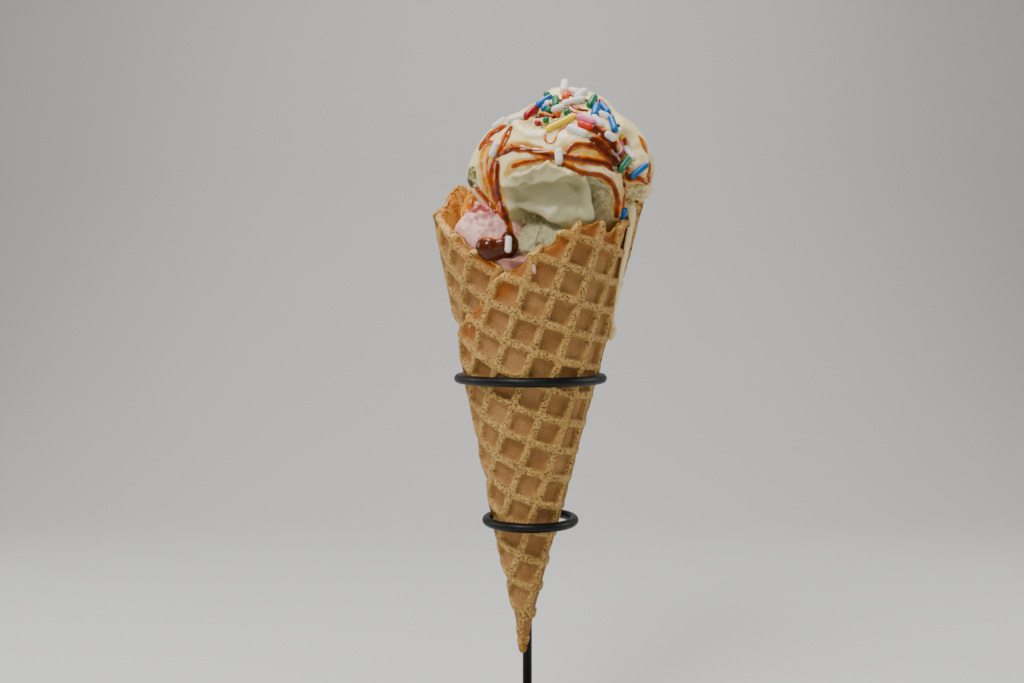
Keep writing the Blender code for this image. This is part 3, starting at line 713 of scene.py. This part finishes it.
def build_strawberry():
    directions, faces = ball_directions(7)
    reach = np.maximum(
        ellipsoid_reach(FILL_CENTRE, directions, FILL_CENTRE, FILL_RADII),
        ellipsoid_reach(FILL_CENTRE, directions, MOUND_CENTRE, MOUND_RADII),
    )
    reach = np.maximum(reach, ellipsoid_reach(FILL_CENTRE, directions, PEAK_CENTRE, PEAK_RADII))
    points = FILL_CENTRE + directions * reach[:, None]
    places = seen_at(points)
    torn = np.clip(0.6 + zone(places, -1, 170, 8, 5) + zone(places, -16, 187, 5, 4), 0, 1)
    crumbs = 0.8 * lumps(points, 2.4, 14) + 0.6 * lumps(points, 1.2, 15) - 0.8 * np.abs(lumps(points, 1.7, 19))
    slow = 0.5 * lumps(points, 6.0, 16) + 0.12 * lumps(points, 1.8, 17)
    points = points + directions * (torn * crumbs + slow)[:, None]
    specks = 0.5 * lumps(points, 1.6, 24)
    fruit = np.zeros(len(points))
    for share, width, line in FRUIT:
        fruit = np.maximum(fruit, share * (1 - smooth_step(line_distance(places, line) + specks, width - 0.3, width + 0.3)))
    # Painted shade: greyer, duller pink low at the front, under the vanilla's overhang
    low = zone(places, -1, 170, 9, 6)
    points = press_inside(points, 12.0)
    return make_mesh("strawberry_ice_cream", points, faces, rough=torn, extra=fruit, scraped=low)


# ---- caramel, drip, sprinkles ----

# Each ribbon: (half width, tone from 0 amber to 1 dark, line as seen, or in space where it hangs free)
RIBBONS = (
    (1.2, 0.8, ((-11.3, 205.4), (-8.7, 207.4), (-4.9, 208.6), (0.4, 207.9), (4.6, 206.7), (8.9, 205.9), (16.3, 205.1),
                (21.7, 204.3), (25.4, 203.4), (28, 200.9))),
    (0.55, 0.3, ((-7.1, 210), (-2.8, 208.8), (1.4, 208.2), (6, 206.8))),
    (0.75, 0.5, ((-6.8, 202.4), (-3.9, 203.5), (0.4, 204.5), (4.1, 205.1), (7.3, 205.6))),
    (0.95, 0.7, ((9.9, 204.2), (14.2, 201.8), (17.4, 200.4), (21.1, 200.2), (24.8, 199), (27.5, 196.4), (28.8, 192.4),
                 (28.8, 188.2), (28.5, 185.3))),
    (0.6, 0.6, ((30.3, 199.5), (31.2, 195.6), (31.1, 191.4), (30.7, 188.2))),
    (1.2, 0.6, ((-11.4, 205.8), (-13, 201.9), (-13.2, 197.7), (-12.1, 193.5), (-10.3, 189.8), (-8.7, 186.1),
                (-7.3, 182.7), (-6.6, 178.5))),
    (1.0, 0.9, ((-10.8, 205.1), (-11.2, 200.9), (-11.2, 196.7), (-10.5, 192.4), (-8.9, 188.2), (-7.7, 183.5),
                (-7.2, 177.5))),
    (1.15, 0.7, ((-5.9, 216.4), (-7.6, 213.5), (-9.2, 209.8), (-10.9, 205.9))),
    (1.3, 0.5, ((-7.4, 216.4), (-12.0, 214.0), (-15.0, 211.2), (-17.2, 207.6))),
    (0.8, 0.4, ((-15.4, 211), (-12.6, 210.4), (-10.4, 209.6))),
    (0.6, 0.1, ((-14, 210.6), (-15.8, 207.4), (-16.5, 204.4), (-16, 200.7), (-15, 197), (-14.2, 193.5))),
    (0.6, 0.2, ((-12.2, 209.4), (-14, 206.4), (-14.5, 202.6), (-14.2, 198))),
    (1.5, 0.25, ((-18.9, -7, 195), (-19.6, -9, 190.8), (-20.8, -11, 186.8), (-22.4, -12, 183.2))),
    (0.95, 0.6, ((-18.7, 196.3), (-16, 193.4), (-13.4, 190), (-11, 187))),
    (0.9, 0.8, ((11.4, 206.6), (13.9, 209.3), (16.9, 210), (21.1, 209), (24.6, 207))),
    (0.35, 0.3, ((5.2, 213.9), (4.6, 212), (5.7, 210.4), (7.5, 210.4), (8.4, 212.2), (8.8, 213.8), (11, 215.4),
                 (15, 215.9))),
    (0.9, 0.6, ((31.6, 201.2), (32.7, 198.6), (35, 198.9), (37.6, 197.9), (39, 196.7))),
    (0.6, 0.4, ((38.2, 200.9), (39.4, 198.8), (39.3, 196.8))),
    (0.9, 0.2, ((35.4, 213.4), (37.4, 210.2), (38.6, 206.7))), (0.8, 0.2, ((39.2, 204.6), (39.6, 202), (39, 199.4))),
    (0.6, 0.5, ((12.1, 221.9), (15, 220.5), (17.9, 219.3))),
    (0.9, 0.7, ((22.7, 223.4), (25.2, 221.4), (27, 218.4))),
    (2.1, 1.0, ((19.8, 216), (22.8, 214.1), (25.7, 211.8), (27.4, 208.8), (28.1, 205.9))),
    (1.9, 1.0, ((19, 212.4), (22.2, 210.8), (25.2, 208.6))),
    (1.5, 1.0, ((27.2, 206.4), (29.1, 203.7), (30.8, 201))),
    (1.2, 0.9, ((1.2, 219.5), (3.6, 219.3), (6.8, 218.4), (8.6, 219))),
    (0.9, 0.8, ((5, 222.6), (9, 222.9), (13, 221.6))),
    (2.1, 0.9, ((20.5, 210.6), (24, 208), (27, 205.2), (28.5, 202.6))),
    (0.9, 0.7, ((9, 224.8), (12, 223.9), (16, 221.5), (19.5, 221))),
    (0.8, 0.6, ((11, 228), (13.5, 226.2), (17, 225.1), (19.5, 224))),
    (0.9, 0.5, ((-1.5, 219.8), (1.5, 218.6), (4, 219.6), (6.5, 218))),
)  # fmt: skip
# Guessed ribbons at the back: (half width, line of azimuth and elevation)
BACK_RIBBONS = (
    (1.0, ((-38, 74), (-30, 55), (-34, 38), (-28, 20), (-32, 6))), (0.8, ((-20, 70), (2, 58), (14, 42), (10, 28))),
    (0.9, ((62, 66), (50, 50), (52, 34), (44, 22))), (0.7, ((-74, 52), (-62, 40), (-66, 24), (-60, 12))),
)  # fmt: skip
BACK_FROM, BACK_TONE = 7.0, 0.75
RIBBON_SPREAD, POOL_LIFT = 1.22, -0.3
POOL = (
    (3.5, 1.0, ((-15.2, 175.4), (-12.5, 174.9), (-9.5, 175.0), (-7.6, 175.8))),
    (2.6, 1.0, ((-7.2, 178.6), (-6.2, 177.4), (-6.6, 175.8))),
)
# The drip: (turn, distance from the apex, out from the ridge tops, half width, half thickness)
DRIP = (
    (64, 157, -2.5, 2.6, 1.2), (64, 154, -0.6, 2.7, 0.9), (64.5, 151, -0.3, 2.4, 0.8), (66, 145, -0.2, 2.2, 0.8),
    (67.5, 138, -0.1, 1.8, 0.8), (69, 132, 0.0, 1.7, 0.8), (71, 127, 0.1, 1.3, 0.8), (74, 123, 0.1, 0.95, 0.7),
    (78, 120, 0.2, 0.8, 0.7), (82, 117.5, 0.7, 1.15, 1.1), (83, 115.6, 1.0, 1.6, 1.5), (83, 114.0, 1.0, 1.35, 1.3),
)  # fmt: skip
# The torn lump it runs from, hanging over the rim: (centre, radii), and where its surface is torn
DRIP_LUMP = ((35.2, -11.5, 194.6), (3.7, 4.2, 4.6))
DRIP_TORN = (34.6, 193.4, 4.0, 5.0)
PINK_DROP = ((0.45, (1.1, 169.7)), (0.6, (1.2, 169.1)), (0.72, (1.2, 168.4)), (0.66, (1.25, 167.8)), (0.45, (1.3, 167.3)))


def aim(tree, x, z):
    """Where the camera's line of sight through (x, z) first meets the tree, and the normal there."""
    hit, normal, _, _ = tree.ray_cast(EYE, (Vector((x, 0, z)) - EYE).normalized())
    if hit is None:
        hit, normal, _, _ = tree.find_nearest(Vector((x, -4, z)))
    return np.array(hit), np.array(normal)


def around(tree, azimuth, elevation):
    """Where a line to the vanilla's centre first meets the tree, and the normal there; azimuth 0 is the back."""
    azimuth, elevation = math.radians(azimuth), math.radians(elevation)
    level = math.cos(elevation)
    outwards = Vector((math.sin(azimuth) * level, math.cos(azimuth) * level, math.sin(elevation)))
    hit, normal, _, _ = tree.ray_cast(Vector(VANILLA_CENTRE) + outwards * 60, -outwards)
    return np.array(hit), np.array(normal)


def in_space(tree, x, y, z):
    """A place of a ribbon that hangs free at the left, with the way it faces."""
    return np.array((x, y, z)), np.array((-0.4, -0.9, 0.1))


def evened(values, window):
    """Moving average along a line, with its ends kept."""
    padded = np.concatenate((values[:1].repeat(window, 0), values, values[-1:].repeat(window, 0)))
    return np.array([padded[k : k + 2 * window + 1].mean(axis=0) for k in range(len(values))])


def add_run(form, tree, half_width, line, find=aim, step=0.35, flat=0.5, lift=0.05, taper=2.2):
    """A flattened, tapering tube along the places that find gives on the tree's surface."""
    found = [find(tree, *place) for place in smooth_line(line, step)]
    path, normals = (evened(np.array(column), 3) for column in zip(*found))
    travelled = np.concatenate(([0], np.cumsum(np.linalg.norm(np.diff(path, axis=0), axis=1))))
    to_end = np.minimum(travelled, travelled[-1] - travelled)
    around = np.arange(12) * 2 * math.pi / 12
    rings = []
    for k in range(len(path)):
        along = path[min(k + 1, len(path) - 1)] - path[max(k - 1, 0)]
        normal = normals[k] / np.linalg.norm(normals[k])
        side = np.cross(along, normal)
        side /= max(np.linalg.norm(side), 1e-9)
        share = min(1.0, to_end[k] / (taper * half_width))
        width = half_width * (0.3 + 0.7 * math.sqrt(share * (2 - share)))
        width *= 1 + 0.28 * math.sin(0.9 * travelled[k] + 7 * half_width) * math.sin(0.37 * travelled[k] + 9 * half_width)
        middle = path[k] + normal * lift * half_width
        rings.append([
            form.verts.new(middle + side * width * math.cos(a) + normal * width * flat * math.sin(a)) for a in around
        ])  # fmt: skip
    for low, high in zip(rings, rings[1:]):
        for k in range(12):
            form.faces.new((low[k], low[(k + 1) % 12], high[(k + 1) % 12], high[k]))
    form.faces.new(rings[0][::-1])
    form.faces.new(rings[-1])


def build_caramel(tree):
    form = bmesh.new()
    for half_width, _, line in RIBBONS:
        add_run(form, tree, half_width * RIBBON_SPREAD, line, aim if len(line[0]) == 2 else in_space)
    for half_width, line in BACK_RIBBONS:
        add_run(form, tree, half_width, line, around, 0.7)
    for radius, _, line in POOL:
        for place in smooth_line(line, 1.2):
            hit, normal = aim(tree, *place)
            middle = Matrix.Translation(hit + normal * POOL_LIFT * radius)
            bmesh.ops.create_icosphere(form, subdivisions=3, radius=radius, matrix=middle)
    bmesh.ops.recalc_face_normals(form, faces=form.faces)
    mesh = remeshed("caramel_sauce", form, 0.26, 4)
    points = np.array([v.co for v in mesh.vertices]) / MM
    places = seen_at(points)
    tones = np.zeros(len(points))
    for half_width, tone, line in (*RIBBONS, *POOL):
        flat_line = smooth_line([(place[0], place[-1]) for place in line], 0.8)
        distance = line_distance(places, flat_line) + 0.25 * lumps(points, 2.0, 23)
        core = 1 - smooth_step(distance, half_width * 0.1 if half_width < 2.5 else half_width * 0.8, half_width * 1.25)
        tones = np.maximum(tones, core * tone)
    tones = np.where(points[:, 1] > BACK_FROM, BACK_TONE, tones)
    mesh.attributes.new("tone", "FLOAT", "POINT").data.foreach_set("value", tones.astype(np.float32))
    return mesh


def drip_mesh(name, form):
    mesh = remeshed(name, form, 0.25, 4)
    for key in ("rough", "extra", "scraped"):
        mesh.attributes.new(key, "FLOAT", "POINT")
    return mesh


def build_drip():
    """Melted ice cream that has run over the waffle's rim and down its side to a drop."""
    form = bmesh.new()
    for turn, s, out, half_width, half_depth in smooth_line(DRIP, 0.6):
        out += layer_out(turn, s, 0)
        place, further = on_cone(turn, s, out), on_cone(turn, s, out + 1)
        turned = Vector(further - place).to_track_quat("Z", "Y").to_matrix().to_4x4()
        matrix = Matrix.Translation(place) @ turned @ Matrix.Diagonal((half_width, half_width, half_depth, 1))
        bmesh.ops.create_icosphere(form, subdivisions=3, radius=1, matrix=matrix)
    centre, radii = DRIP_LUMP
    matrix = Matrix.Translation(centre) @ Matrix.Diagonal((*radii, 1))
    bmesh.ops.create_icosphere(form, subdivisions=4, radius=1, matrix=matrix)
    mesh = drip_mesh("melted_drip", form)
    points = np.array([v.co for v in mesh.vertices]) / MM
    normals = np.array([v.normal for v in mesh.vertices])
    torn = zone(seen_at(points), *DRIP_TORN)
    crumbs = 1.0 * lumps(points, 2.4, 27) + 0.8 * lumps(points, 1.2, 28) - 1.2 * np.abs(lumps(points, 1.8, 29))
    points += normals * (torn * crumbs)[:, None]
    mesh.vertices.foreach_set("co", (points * MM).astype(np.float32).ravel())
    mesh.attributes["rough"].data.foreach_set("value", torn.astype(np.float32))
    return mesh


def build_pink_drop(tree):
    form = bmesh.new()
    for radius, place in PINK_DROP:
        bmesh.ops.create_icosphere(form, subdivisions=3, radius=radius, matrix=Matrix.Translation(aim(tree, *place)[0]))
    return drip_mesh("pink_drop", form)


SUGAR = {
    "white": (242, 236, 228), "green": (0, 108, 62), "blue": (0, 98, 176), "orange": (232, 88, 0),
    "red_orange": (214, 34, 0), "red": (166, 0, 18), "pink": (250, 130, 172), "yellow": (255, 218, 0),
}  # fmt: skip
# (colour, one end, other end or None where it points at the camera, radius)
SPRINKLES = (
    ("white", (11.4, 229.6), (10.9, 227.2), 1.35), ("green", (5.4, 226.3), None, 1.2),
    ("blue", (6.5, 225.1), (2.8, 222.7), 1.1), ("white", (5.7, 223.4), None, 1.15),
    ("green", (8.4, 224.6), (8.4, 222.7), 1.15), ("blue", (4.4, 221.8), None, 1.05),
    ("green", (6, 221.2), None, 1.3), ("white", (8.4, 221.4), (10.5, 222.1), 1.15),
    ("orange", (8.6, 220), None, 1.0), ("green", (12.1, 220.5), None, 1.15),
    ("orange", (11.8, 226.4), (11.5, 225.1), 1.25), ("white", (13.4, 227.3), (15, 226.7), 1.15),
    ("white", (15.5, 225.2), (17.7, 226.8), 1.3), ("white", (11.6, 223.3), (16.9, 224.3), 1.25),
    ("green", (20.9, 224.8), (19.5, 222.5), 1.25), ("red", (23, 224.1), (25.8, 220.5), 0.8),
    ("blue", (21.8, 222.2), (21, 219.3), 1.25), ("blue", (23.5, 222.7), (25.6, 220.3), 1.15),
    ("white", (23.2, 219.4), (24.8, 218.8), 1.15), ("white", (20.9, 218.3), (23.2, 216.2), 1.15),
    ("blue", (26.4, 218.3), (27.6, 214.6), 1.15), ("pink", (16.1, 218.6), (20.2, 217), 1.15),
    ("yellow", (6.1, 214.7), (13.7, 218.8), 1.1), ("red_orange", (16.6, 216.3), (19.4, 215.2), 1.1),
    ("white", (13.2, 214.7), (17.4, 213), 1.3), ("red", (1.3, 221.4), (-0.6, 219.2), 1.35),
    ("red", (2.3, 216.8), None, 1.15), ("green", (5.1, 218), None, 1.05),
    ("white", (-2.6, 218.5), (-6.7, 217.5), 1.05), ("white", (-8.7, 217.6), (-11.6, 215.5), 1.05),
    ("white", (-11.2, 209.6), (-12.3, 206.7), 1.25), ("white", (9.3, 207.2), (9.6, 205), 1.25),
    ("white", (25.5, 212.9), (27, 211.7), 1.15), ("green", (28.8, 216.1), None, 0.8),
    ("white", (29.3, 214.5), None, 0.95), ("yellow", (30.3, 212.5), None, 0.95),
    ("red", (31, 211.3), None, 1.05), ("pink", (29.3, 211.4), (30.1, 206.9), 1.25),
    ("white", (31.7, 208.8), (33.9, 205.6), 0.95), ("green", (32.4, 204.6), (29.4, 201.7), 1.25),
    ("orange", (32.3, 201.7), None, 0.8), ("blue", (38, 203.1), (34, 199.4), 0.9),
    ("blue", (31.1, 188.4), (29.9, 185.6), 1.05), ("white", (-7.4, 178.2), (-7.7, 175.2), 1.1),
)  # fmt: skip
DOT_LENGTH = 4.0  # of a sprinkle that points at the camera
SPRINKLE_SLOPE = 4.0  # how far a sprinkle's two ends may differ in depth
# Guessed sprinkles at the back: (colour, azimuth, elevation, turn, half length)
BACK_SPRINKLES = (
    ("blue", -20, 74, 80, 2.4), ("green", 30, 70, 140, 2.5), ("yellow", -8, 40, 40, 3.0),
    ("pink", -42, 60, 110, 2.7), ("white", 6, 62, 60, 2.8), ("red_orange", 48, 58, 5, 2.3), ("white", -78, 54, 150, 2.4),
    ("red", -12, 48, 30, 2.2), ("blue", 28, 44, 100, 2.9), ("white", -50, 42, 70, 2.6), ("green", 66, 44, 130, 2.4),
    ("orange", 4, 33, 155, 2.1), ("white", 40, 30, 50, 2.5), ("pink", -24, 26, 10, 2.6),
)  # fmt: skip
BACK_RADIUS = 1.15


def capsule(start, end, radius, sides=14, cap_rings=5, body_rings=5, seed=0):
    """Points and faces of a rod with round ends, slightly uneven."""
    start, end = Vector(start), Vector(end)
    axis = end - start
    turn = axis.to_track_quat("Z", "Y").to_matrix()
    profile = [(math.sin(a) * radius, -math.cos(a) * radius) for a in np.linspace(0.12, math.pi / 2, cap_rings)]
    profile += [(radius, axis.length * k / (body_rings + 1)) for k in range(1, body_rings + 1)]
    profile += [(math.cos(a) * radius, axis.length + math.sin(a) * radius) for a in np.linspace(0, math.pi / 2 - 0.12, cap_rings)]
    points = []
    for r, h in profile:
        for k in range(sides):
            a = 2 * math.pi * k / sides
            points.append(start + turn @ Vector((r * math.cos(a), r * math.sin(a), h)))
    faces = []
    for j in range(len(profile) - 1):
        for k in range(sides):
            n = (k + 1) % sides
            faces.append([j * sides + k, j * sides + n, (j + 1) * sides + n, (j + 1) * sides + k])
    faces += [list(range(sides))[::-1], [(len(profile) - 1) * sides + k for k in range(sides)]]
    points = np.array(points)
    away = points - np.array(start.lerp(end, 0.5))
    return points + away * 0.05 * lumps(points, 1.6, 20 + seed)[:, None], faces


def at_depth(place, y):
    """The point at that y on the camera's line of sight through a seen place."""
    sight = Vector((place[0], 0, place[1])) - EYE
    return np.array(EYE + sight * ((y - EYE.y) / sight.y))


def build_sprinkles(tree):
    names = list(SUGAR)
    rods = []
    for colour, first, second, radius in SPRINKLES:
        hit, normal = aim(tree, *first)
        if second is None:
            sight = (EYE - Vector(hit)).normalized()
            start = Vector(hit) - sight * 0.5 * DOT_LENGTH
            end = Vector(hit) + sight * 0.5 * radius
        else:
            other, other_normal = aim(tree, *second)
            nearest = min(hit[1], other[1]) + SPRINKLE_SLOPE
            hit, other = at_depth(first, min(hit[1], nearest)), at_depth(second, min(other[1], nearest))
            start, end = Vector(hit + normal * radius * 0.45), Vector(other + other_normal * radius * 0.45)
        rods.append((colour, start, end, radius))
    for colour, azimuth, elevation, turn, half_length in BACK_SPRINKLES:
        hit, normal = around(tree, azimuth, elevation)
        across = np.cross(normal, (0, 0, 1))
        across /= np.linalg.norm(across)
        turn = math.radians(turn)
        along = (across * math.cos(turn) + np.cross(normal, across) * math.sin(turn)) * half_length
        middle = hit + normal * BACK_RADIUS * 0.35
        rods.append((colour, middle - along, middle + along, BACK_RADIUS))
    points, faces, colours = [], [], []
    for seed, (colour, start, end, radius) in enumerate(rods):
        new_points, new_faces = capsule(start, end, radius, seed=seed)
        base = sum(len(p) for p in points)
        points.append(new_points)
        faces += [[base + i for i in f] for f in new_faces]
        colours += [names.index(colour)] * len(new_faces)
    mesh = make_mesh("sugar_sprinkles", np.vstack(points), faces)
    for name, shade in SUGAR.items():
        mesh.materials.append(sugar_material(name, srgb(*shade)))
    mesh.polygons.foreach_set("material_index", colours)
    return mesh


def build_nut(tree):
    """A shard of nut with broken faces at the scoop's left edge."""
    directions, faces = ball_directions(5)
    cuts = np.random.default_rng(7).normal(size=(14, 3))
    cuts /= np.linalg.norm(cuts, axis=1)[:, None]
    reach = 1 / np.maximum((directions @ cuts.T) / np.linspace(0.6, 1.0, len(cuts)), 0.4).max(axis=1)
    points = directions * np.minimum(reach, 1.25)[:, None] * (1.5, 1.4, 3.4)
    points *= 1 + 0.05 * lumps(points, 1.2, 31)[:, None]
    hit, normal = aim(tree, -18.6, 198.6)
    return make_mesh("nut_piece", points + hit + normal * 1.0, faces)


def nut_material():
    n = Nodes("nut_piece", Coat_Weight=0.3, Coat_Roughness=0.15)
    broad, fine = n.noise(2.6, 3.0), n.noise(0.5, 3.0)
    colour = n.mix(n.ramp(broad, 0.42, 0.5), srgb(66, 50, 20), srgb(150, 140, 70))
    colour = n.mix(n.ramp(broad, 0.52, 0.6), colour, srgb(206, 208, 190))
    return n.finish(colour, n.ramp(fine, 0.3, 0.7, 0.25, 0.5), fine, 0.3)


# ---- stand ----


def tube(places, radius, sides=28, closed=False):
    """Points and faces of a round wire along 3-D places."""
    places = [Vector(p) for p in places]
    count = len(places)
    points, faces = [], []
    for i, place in enumerate(places):
        before = places[(i - 1) % count] if closed else places[max(i - 1, 0)]
        after = places[(i + 1) % count] if closed else places[min(i + 1, count - 1)]
        along = (after - before).normalized()
        side = along.cross(Vector((0.1, 0.2, 1))).normalized() if abs(along.z) < 0.9 else along.cross(Vector((0, 1, 0))).normalized()
        up = side.cross(along)
        r = radius[i] if isinstance(radius, list) else radius
        points += [place + (side * math.cos(a) + up * math.sin(a)) * r for a in np.arange(sides) * 2 * math.pi / sides]
    for i in range(count if closed else count - 1):
        for k in range(sides):
            n, j = (k + 1) % sides, (i + 1) % count
            faces.append([i * sides + k, j * sides + k, j * sides + n, i * sides + n])
    if not closed:
        faces += [list(range(sides)), [(count - 1) * sides + k for k in range(sides)][::-1]]
    return [tuple(p) for p in points], faces


def build_ring(name, radius, height):
    around = np.linspace(0, 2 * math.pi, 160, endpoint=False)
    points, faces = tube([(radius * math.cos(a), radius * math.sin(a), height) for a in around], WIRE_RADIUS, closed=True)
    tail_end = ROD_Y - ROD_RADIUS * 0.6
    depths = np.linspace(radius, tail_end, 12)
    tail_points, tail_faces = tube([(ROD_X, y, height) for y in depths], WIRE_RADIUS * 0.98)
    faces += [[len(points) + i for i in f] for f in tail_faces]
    return make_mesh(name + "_wire", points + tail_points, faces)


def build_rod():
    round_end = [(ROD_TOP - ROD_RADIUS * (1 - math.sin(a)), ROD_RADIUS * math.cos(a)) for a in np.linspace(0, 1.45, 8)]
    levels = [(BASE_THICKNESS - 0.5, ROD_RADIUS), (BASE_THICKNESS + 1, ROD_RADIUS), (70, ROD_RADIUS), *round_end]
    points, faces = tube([(ROD_X, ROD_Y, z) for z, _ in levels], [r for _, r in levels], sides=32)
    return make_mesh("stand_rod_wire", points, faces)


def build_base():
    form = bmesh.new()
    sides = 160
    edge = [(BASE_RADIUS - 1 + math.sin(a), BASE_THICKNESS - 1 + math.cos(a)) for a in np.linspace(0, math.pi / 2, 6)]
    profile = [(BASE_RADIUS * 0.5, BASE_THICKNESS), *edge, (BASE_RADIUS, 0.6), (BASE_RADIUS - 0.6, 0)]
    rings = []
    for r, z in profile:
        rings.append([form.verts.new((r * math.cos(2 * math.pi * k / sides), r * math.sin(2 * math.pi * k / sides), z)) for k in range(sides)])
    for low, high in zip(rings, rings[1:]):
        for k in range(sides):
            n = (k + 1) % sides
            form.faces.new((low[k], high[k], high[n], low[n]))
    form.faces.new(rings[0])
    form.faces.new(rings[-1][::-1])
    bmesh.ops.scale(form, vec=(MM,) * 3, verts=form.verts)
    mesh = bpy.data.meshes.new("stand_base_plate")
    form.to_mesh(mesh)
    form.free()
    return mesh


# ---- stage ----


def build_stage():
    """A pale floor that curves up into a plain backdrop."""
    depth, height, bend, half = 700.0, 900.0, 300.0, 2600.0
    line = [(-900.0, 0.0), (depth - bend, 0.0)]
    line += [(depth - bend + bend * math.sin(a), bend - bend * math.cos(a)) for a in np.linspace(0.1, math.pi / 2, 16)]
    line.append((depth, height))
    points = [(x, y, z) for y, z in line for x in (-half, half)]
    faces = [[2 * k, 2 * k + 1, 2 * k + 3, 2 * k + 2] for k in range(len(line) - 1)]
    floor = bpy.data.objects.new("floor", make_mesh("floor", points, faces))
    bpy.context.scene.collection.objects.link(floor)
    floor.data.shade_smooth()
    floor.data.materials.append(plain_material("pale_floor", srgb(205, 204, 202), 0.9))


def add_light(name, place, size, power, colour=(1, 1, 1)):
    light = bpy.data.lights.new(name, "AREA")
    light.shape, light.size, light.energy, light.color = "SQUARE", size * MM, power, colour
    holder = bpy.data.objects.new(name, light)
    bpy.context.scene.collection.objects.link(holder)
    holder.location = Vector(place) * MM
    holder.rotation_euler = (Vector((5, 0, 150)) - Vector(place)).to_track_quat("-Z", "Y").to_euler()


def add_lights():
    add_light("key_front", (-210, -380, 600), 220, 3.0)
    add_light("above", (-40, 20, 840), 300, 4.6)
    add_light("left", (-520, 60, 330), 300, 1.1)
    add_light("right", (520, 60, 330), 300, 1.1)
    add_light("front_fill", (60, -800, 250), 500, 0.6)
    add_light("backdrop", (0, 300, 900), 600, 2.0)
    world = bpy.data.worlds.new("studio")
    world.use_nodes = True
    world.node_tree.nodes["Background"].inputs["Color"].default_value = (1.0, 0.98, 0.95, 1)
    world.node_tree.nodes["Background"].inputs["Strength"].default_value = 0.1
    bpy.context.scene.world = world


def add_camera():
    camera = bpy.data.cameras.new("camera")
    camera.lens, camera.sensor_width, camera.clip_start = LENS, 36.0, 0.01
    holder = bpy.data.objects.new("camera", camera)
    bpy.context.scene.collection.objects.link(holder)
    holder.location = EYE * MM
    holder.rotation_euler = (math.pi / 2 - PITCH, 0, 0)
    bpy.context.scene.camera = holder


def main():
    add_camera()
    add_lights()
    build_stage()
    # Each ice cream's third colour is partly duller scraped cream and partly painted shade; its fourth is painted shade
    # in the pores
    baked, cream = waffle_material(), ice_material(
        "vanilla", (srgb(242, 216, 146), srgb(248, 228, 172)), srgb(190, 184, 138), srgb(168, 150, 96),
        srgb(208, 152, 10), 0.85,
    )  # fmt: skip
    pink = ice_material(
        "strawberry", (srgb(242, 184, 168), srgb(248, 206, 192)), srgb(190, 146, 132), srgb(200, 122, 110),
        srgb(160, 22, 20), 0.95,
    )  # fmt: skip
    waffle = build_waffle()
    waffle.materials.append(baked)
    add_piece("waffle_cone_baked", waffle, ["waffle_cone"])
    tip = build_tip()
    tip.materials.append(baked)
    add_piece("waffle_tip", tip)
    strawberry, vanilla = build_strawberry(), build_vanilla()
    strawberry.materials.append(pink)
    vanilla.materials.append(cream)
    add_piece("strawberry_ice_cream", strawberry, ["strawberry_scoop"])
    add_piece("vanilla_ice_cream", vanilla, ["vanilla_scoop"])
    drip = build_drip()
    drip.materials.append(cream)
    add_piece("melted_drip", drip)
    ice_tree = tree_of(vanilla, strawberry, drip)
    caramel = build_caramel(ice_tree)
    caramel.materials.append(caramel_material())
    add_piece("caramel_sauce", caramel)
    drop = build_pink_drop(tree_of(waffle))
    drop.materials.append(pink)
    add_piece("pink_drop", drop)
    add_piece("sugar_sprinkles", build_sprinkles(tree_of(vanilla, caramel)))
    nut = build_nut(ice_tree)
    nut.materials.append(nut_material())
    add_piece("nut_piece", nut)
    coat = coat_material()
    for name, (radius, height) in RINGS.items():
        ring = build_ring(name, radius, height)
        ring.materials.append(coat)
        add_piece(name + "_wire", ring, [name])
    for mesh, node in ((build_rod(), "stand_rod"), (build_base(), "stand_base")):
        mesh.materials.append(coat)
        add_piece(mesh.name, mesh, [node])


main()
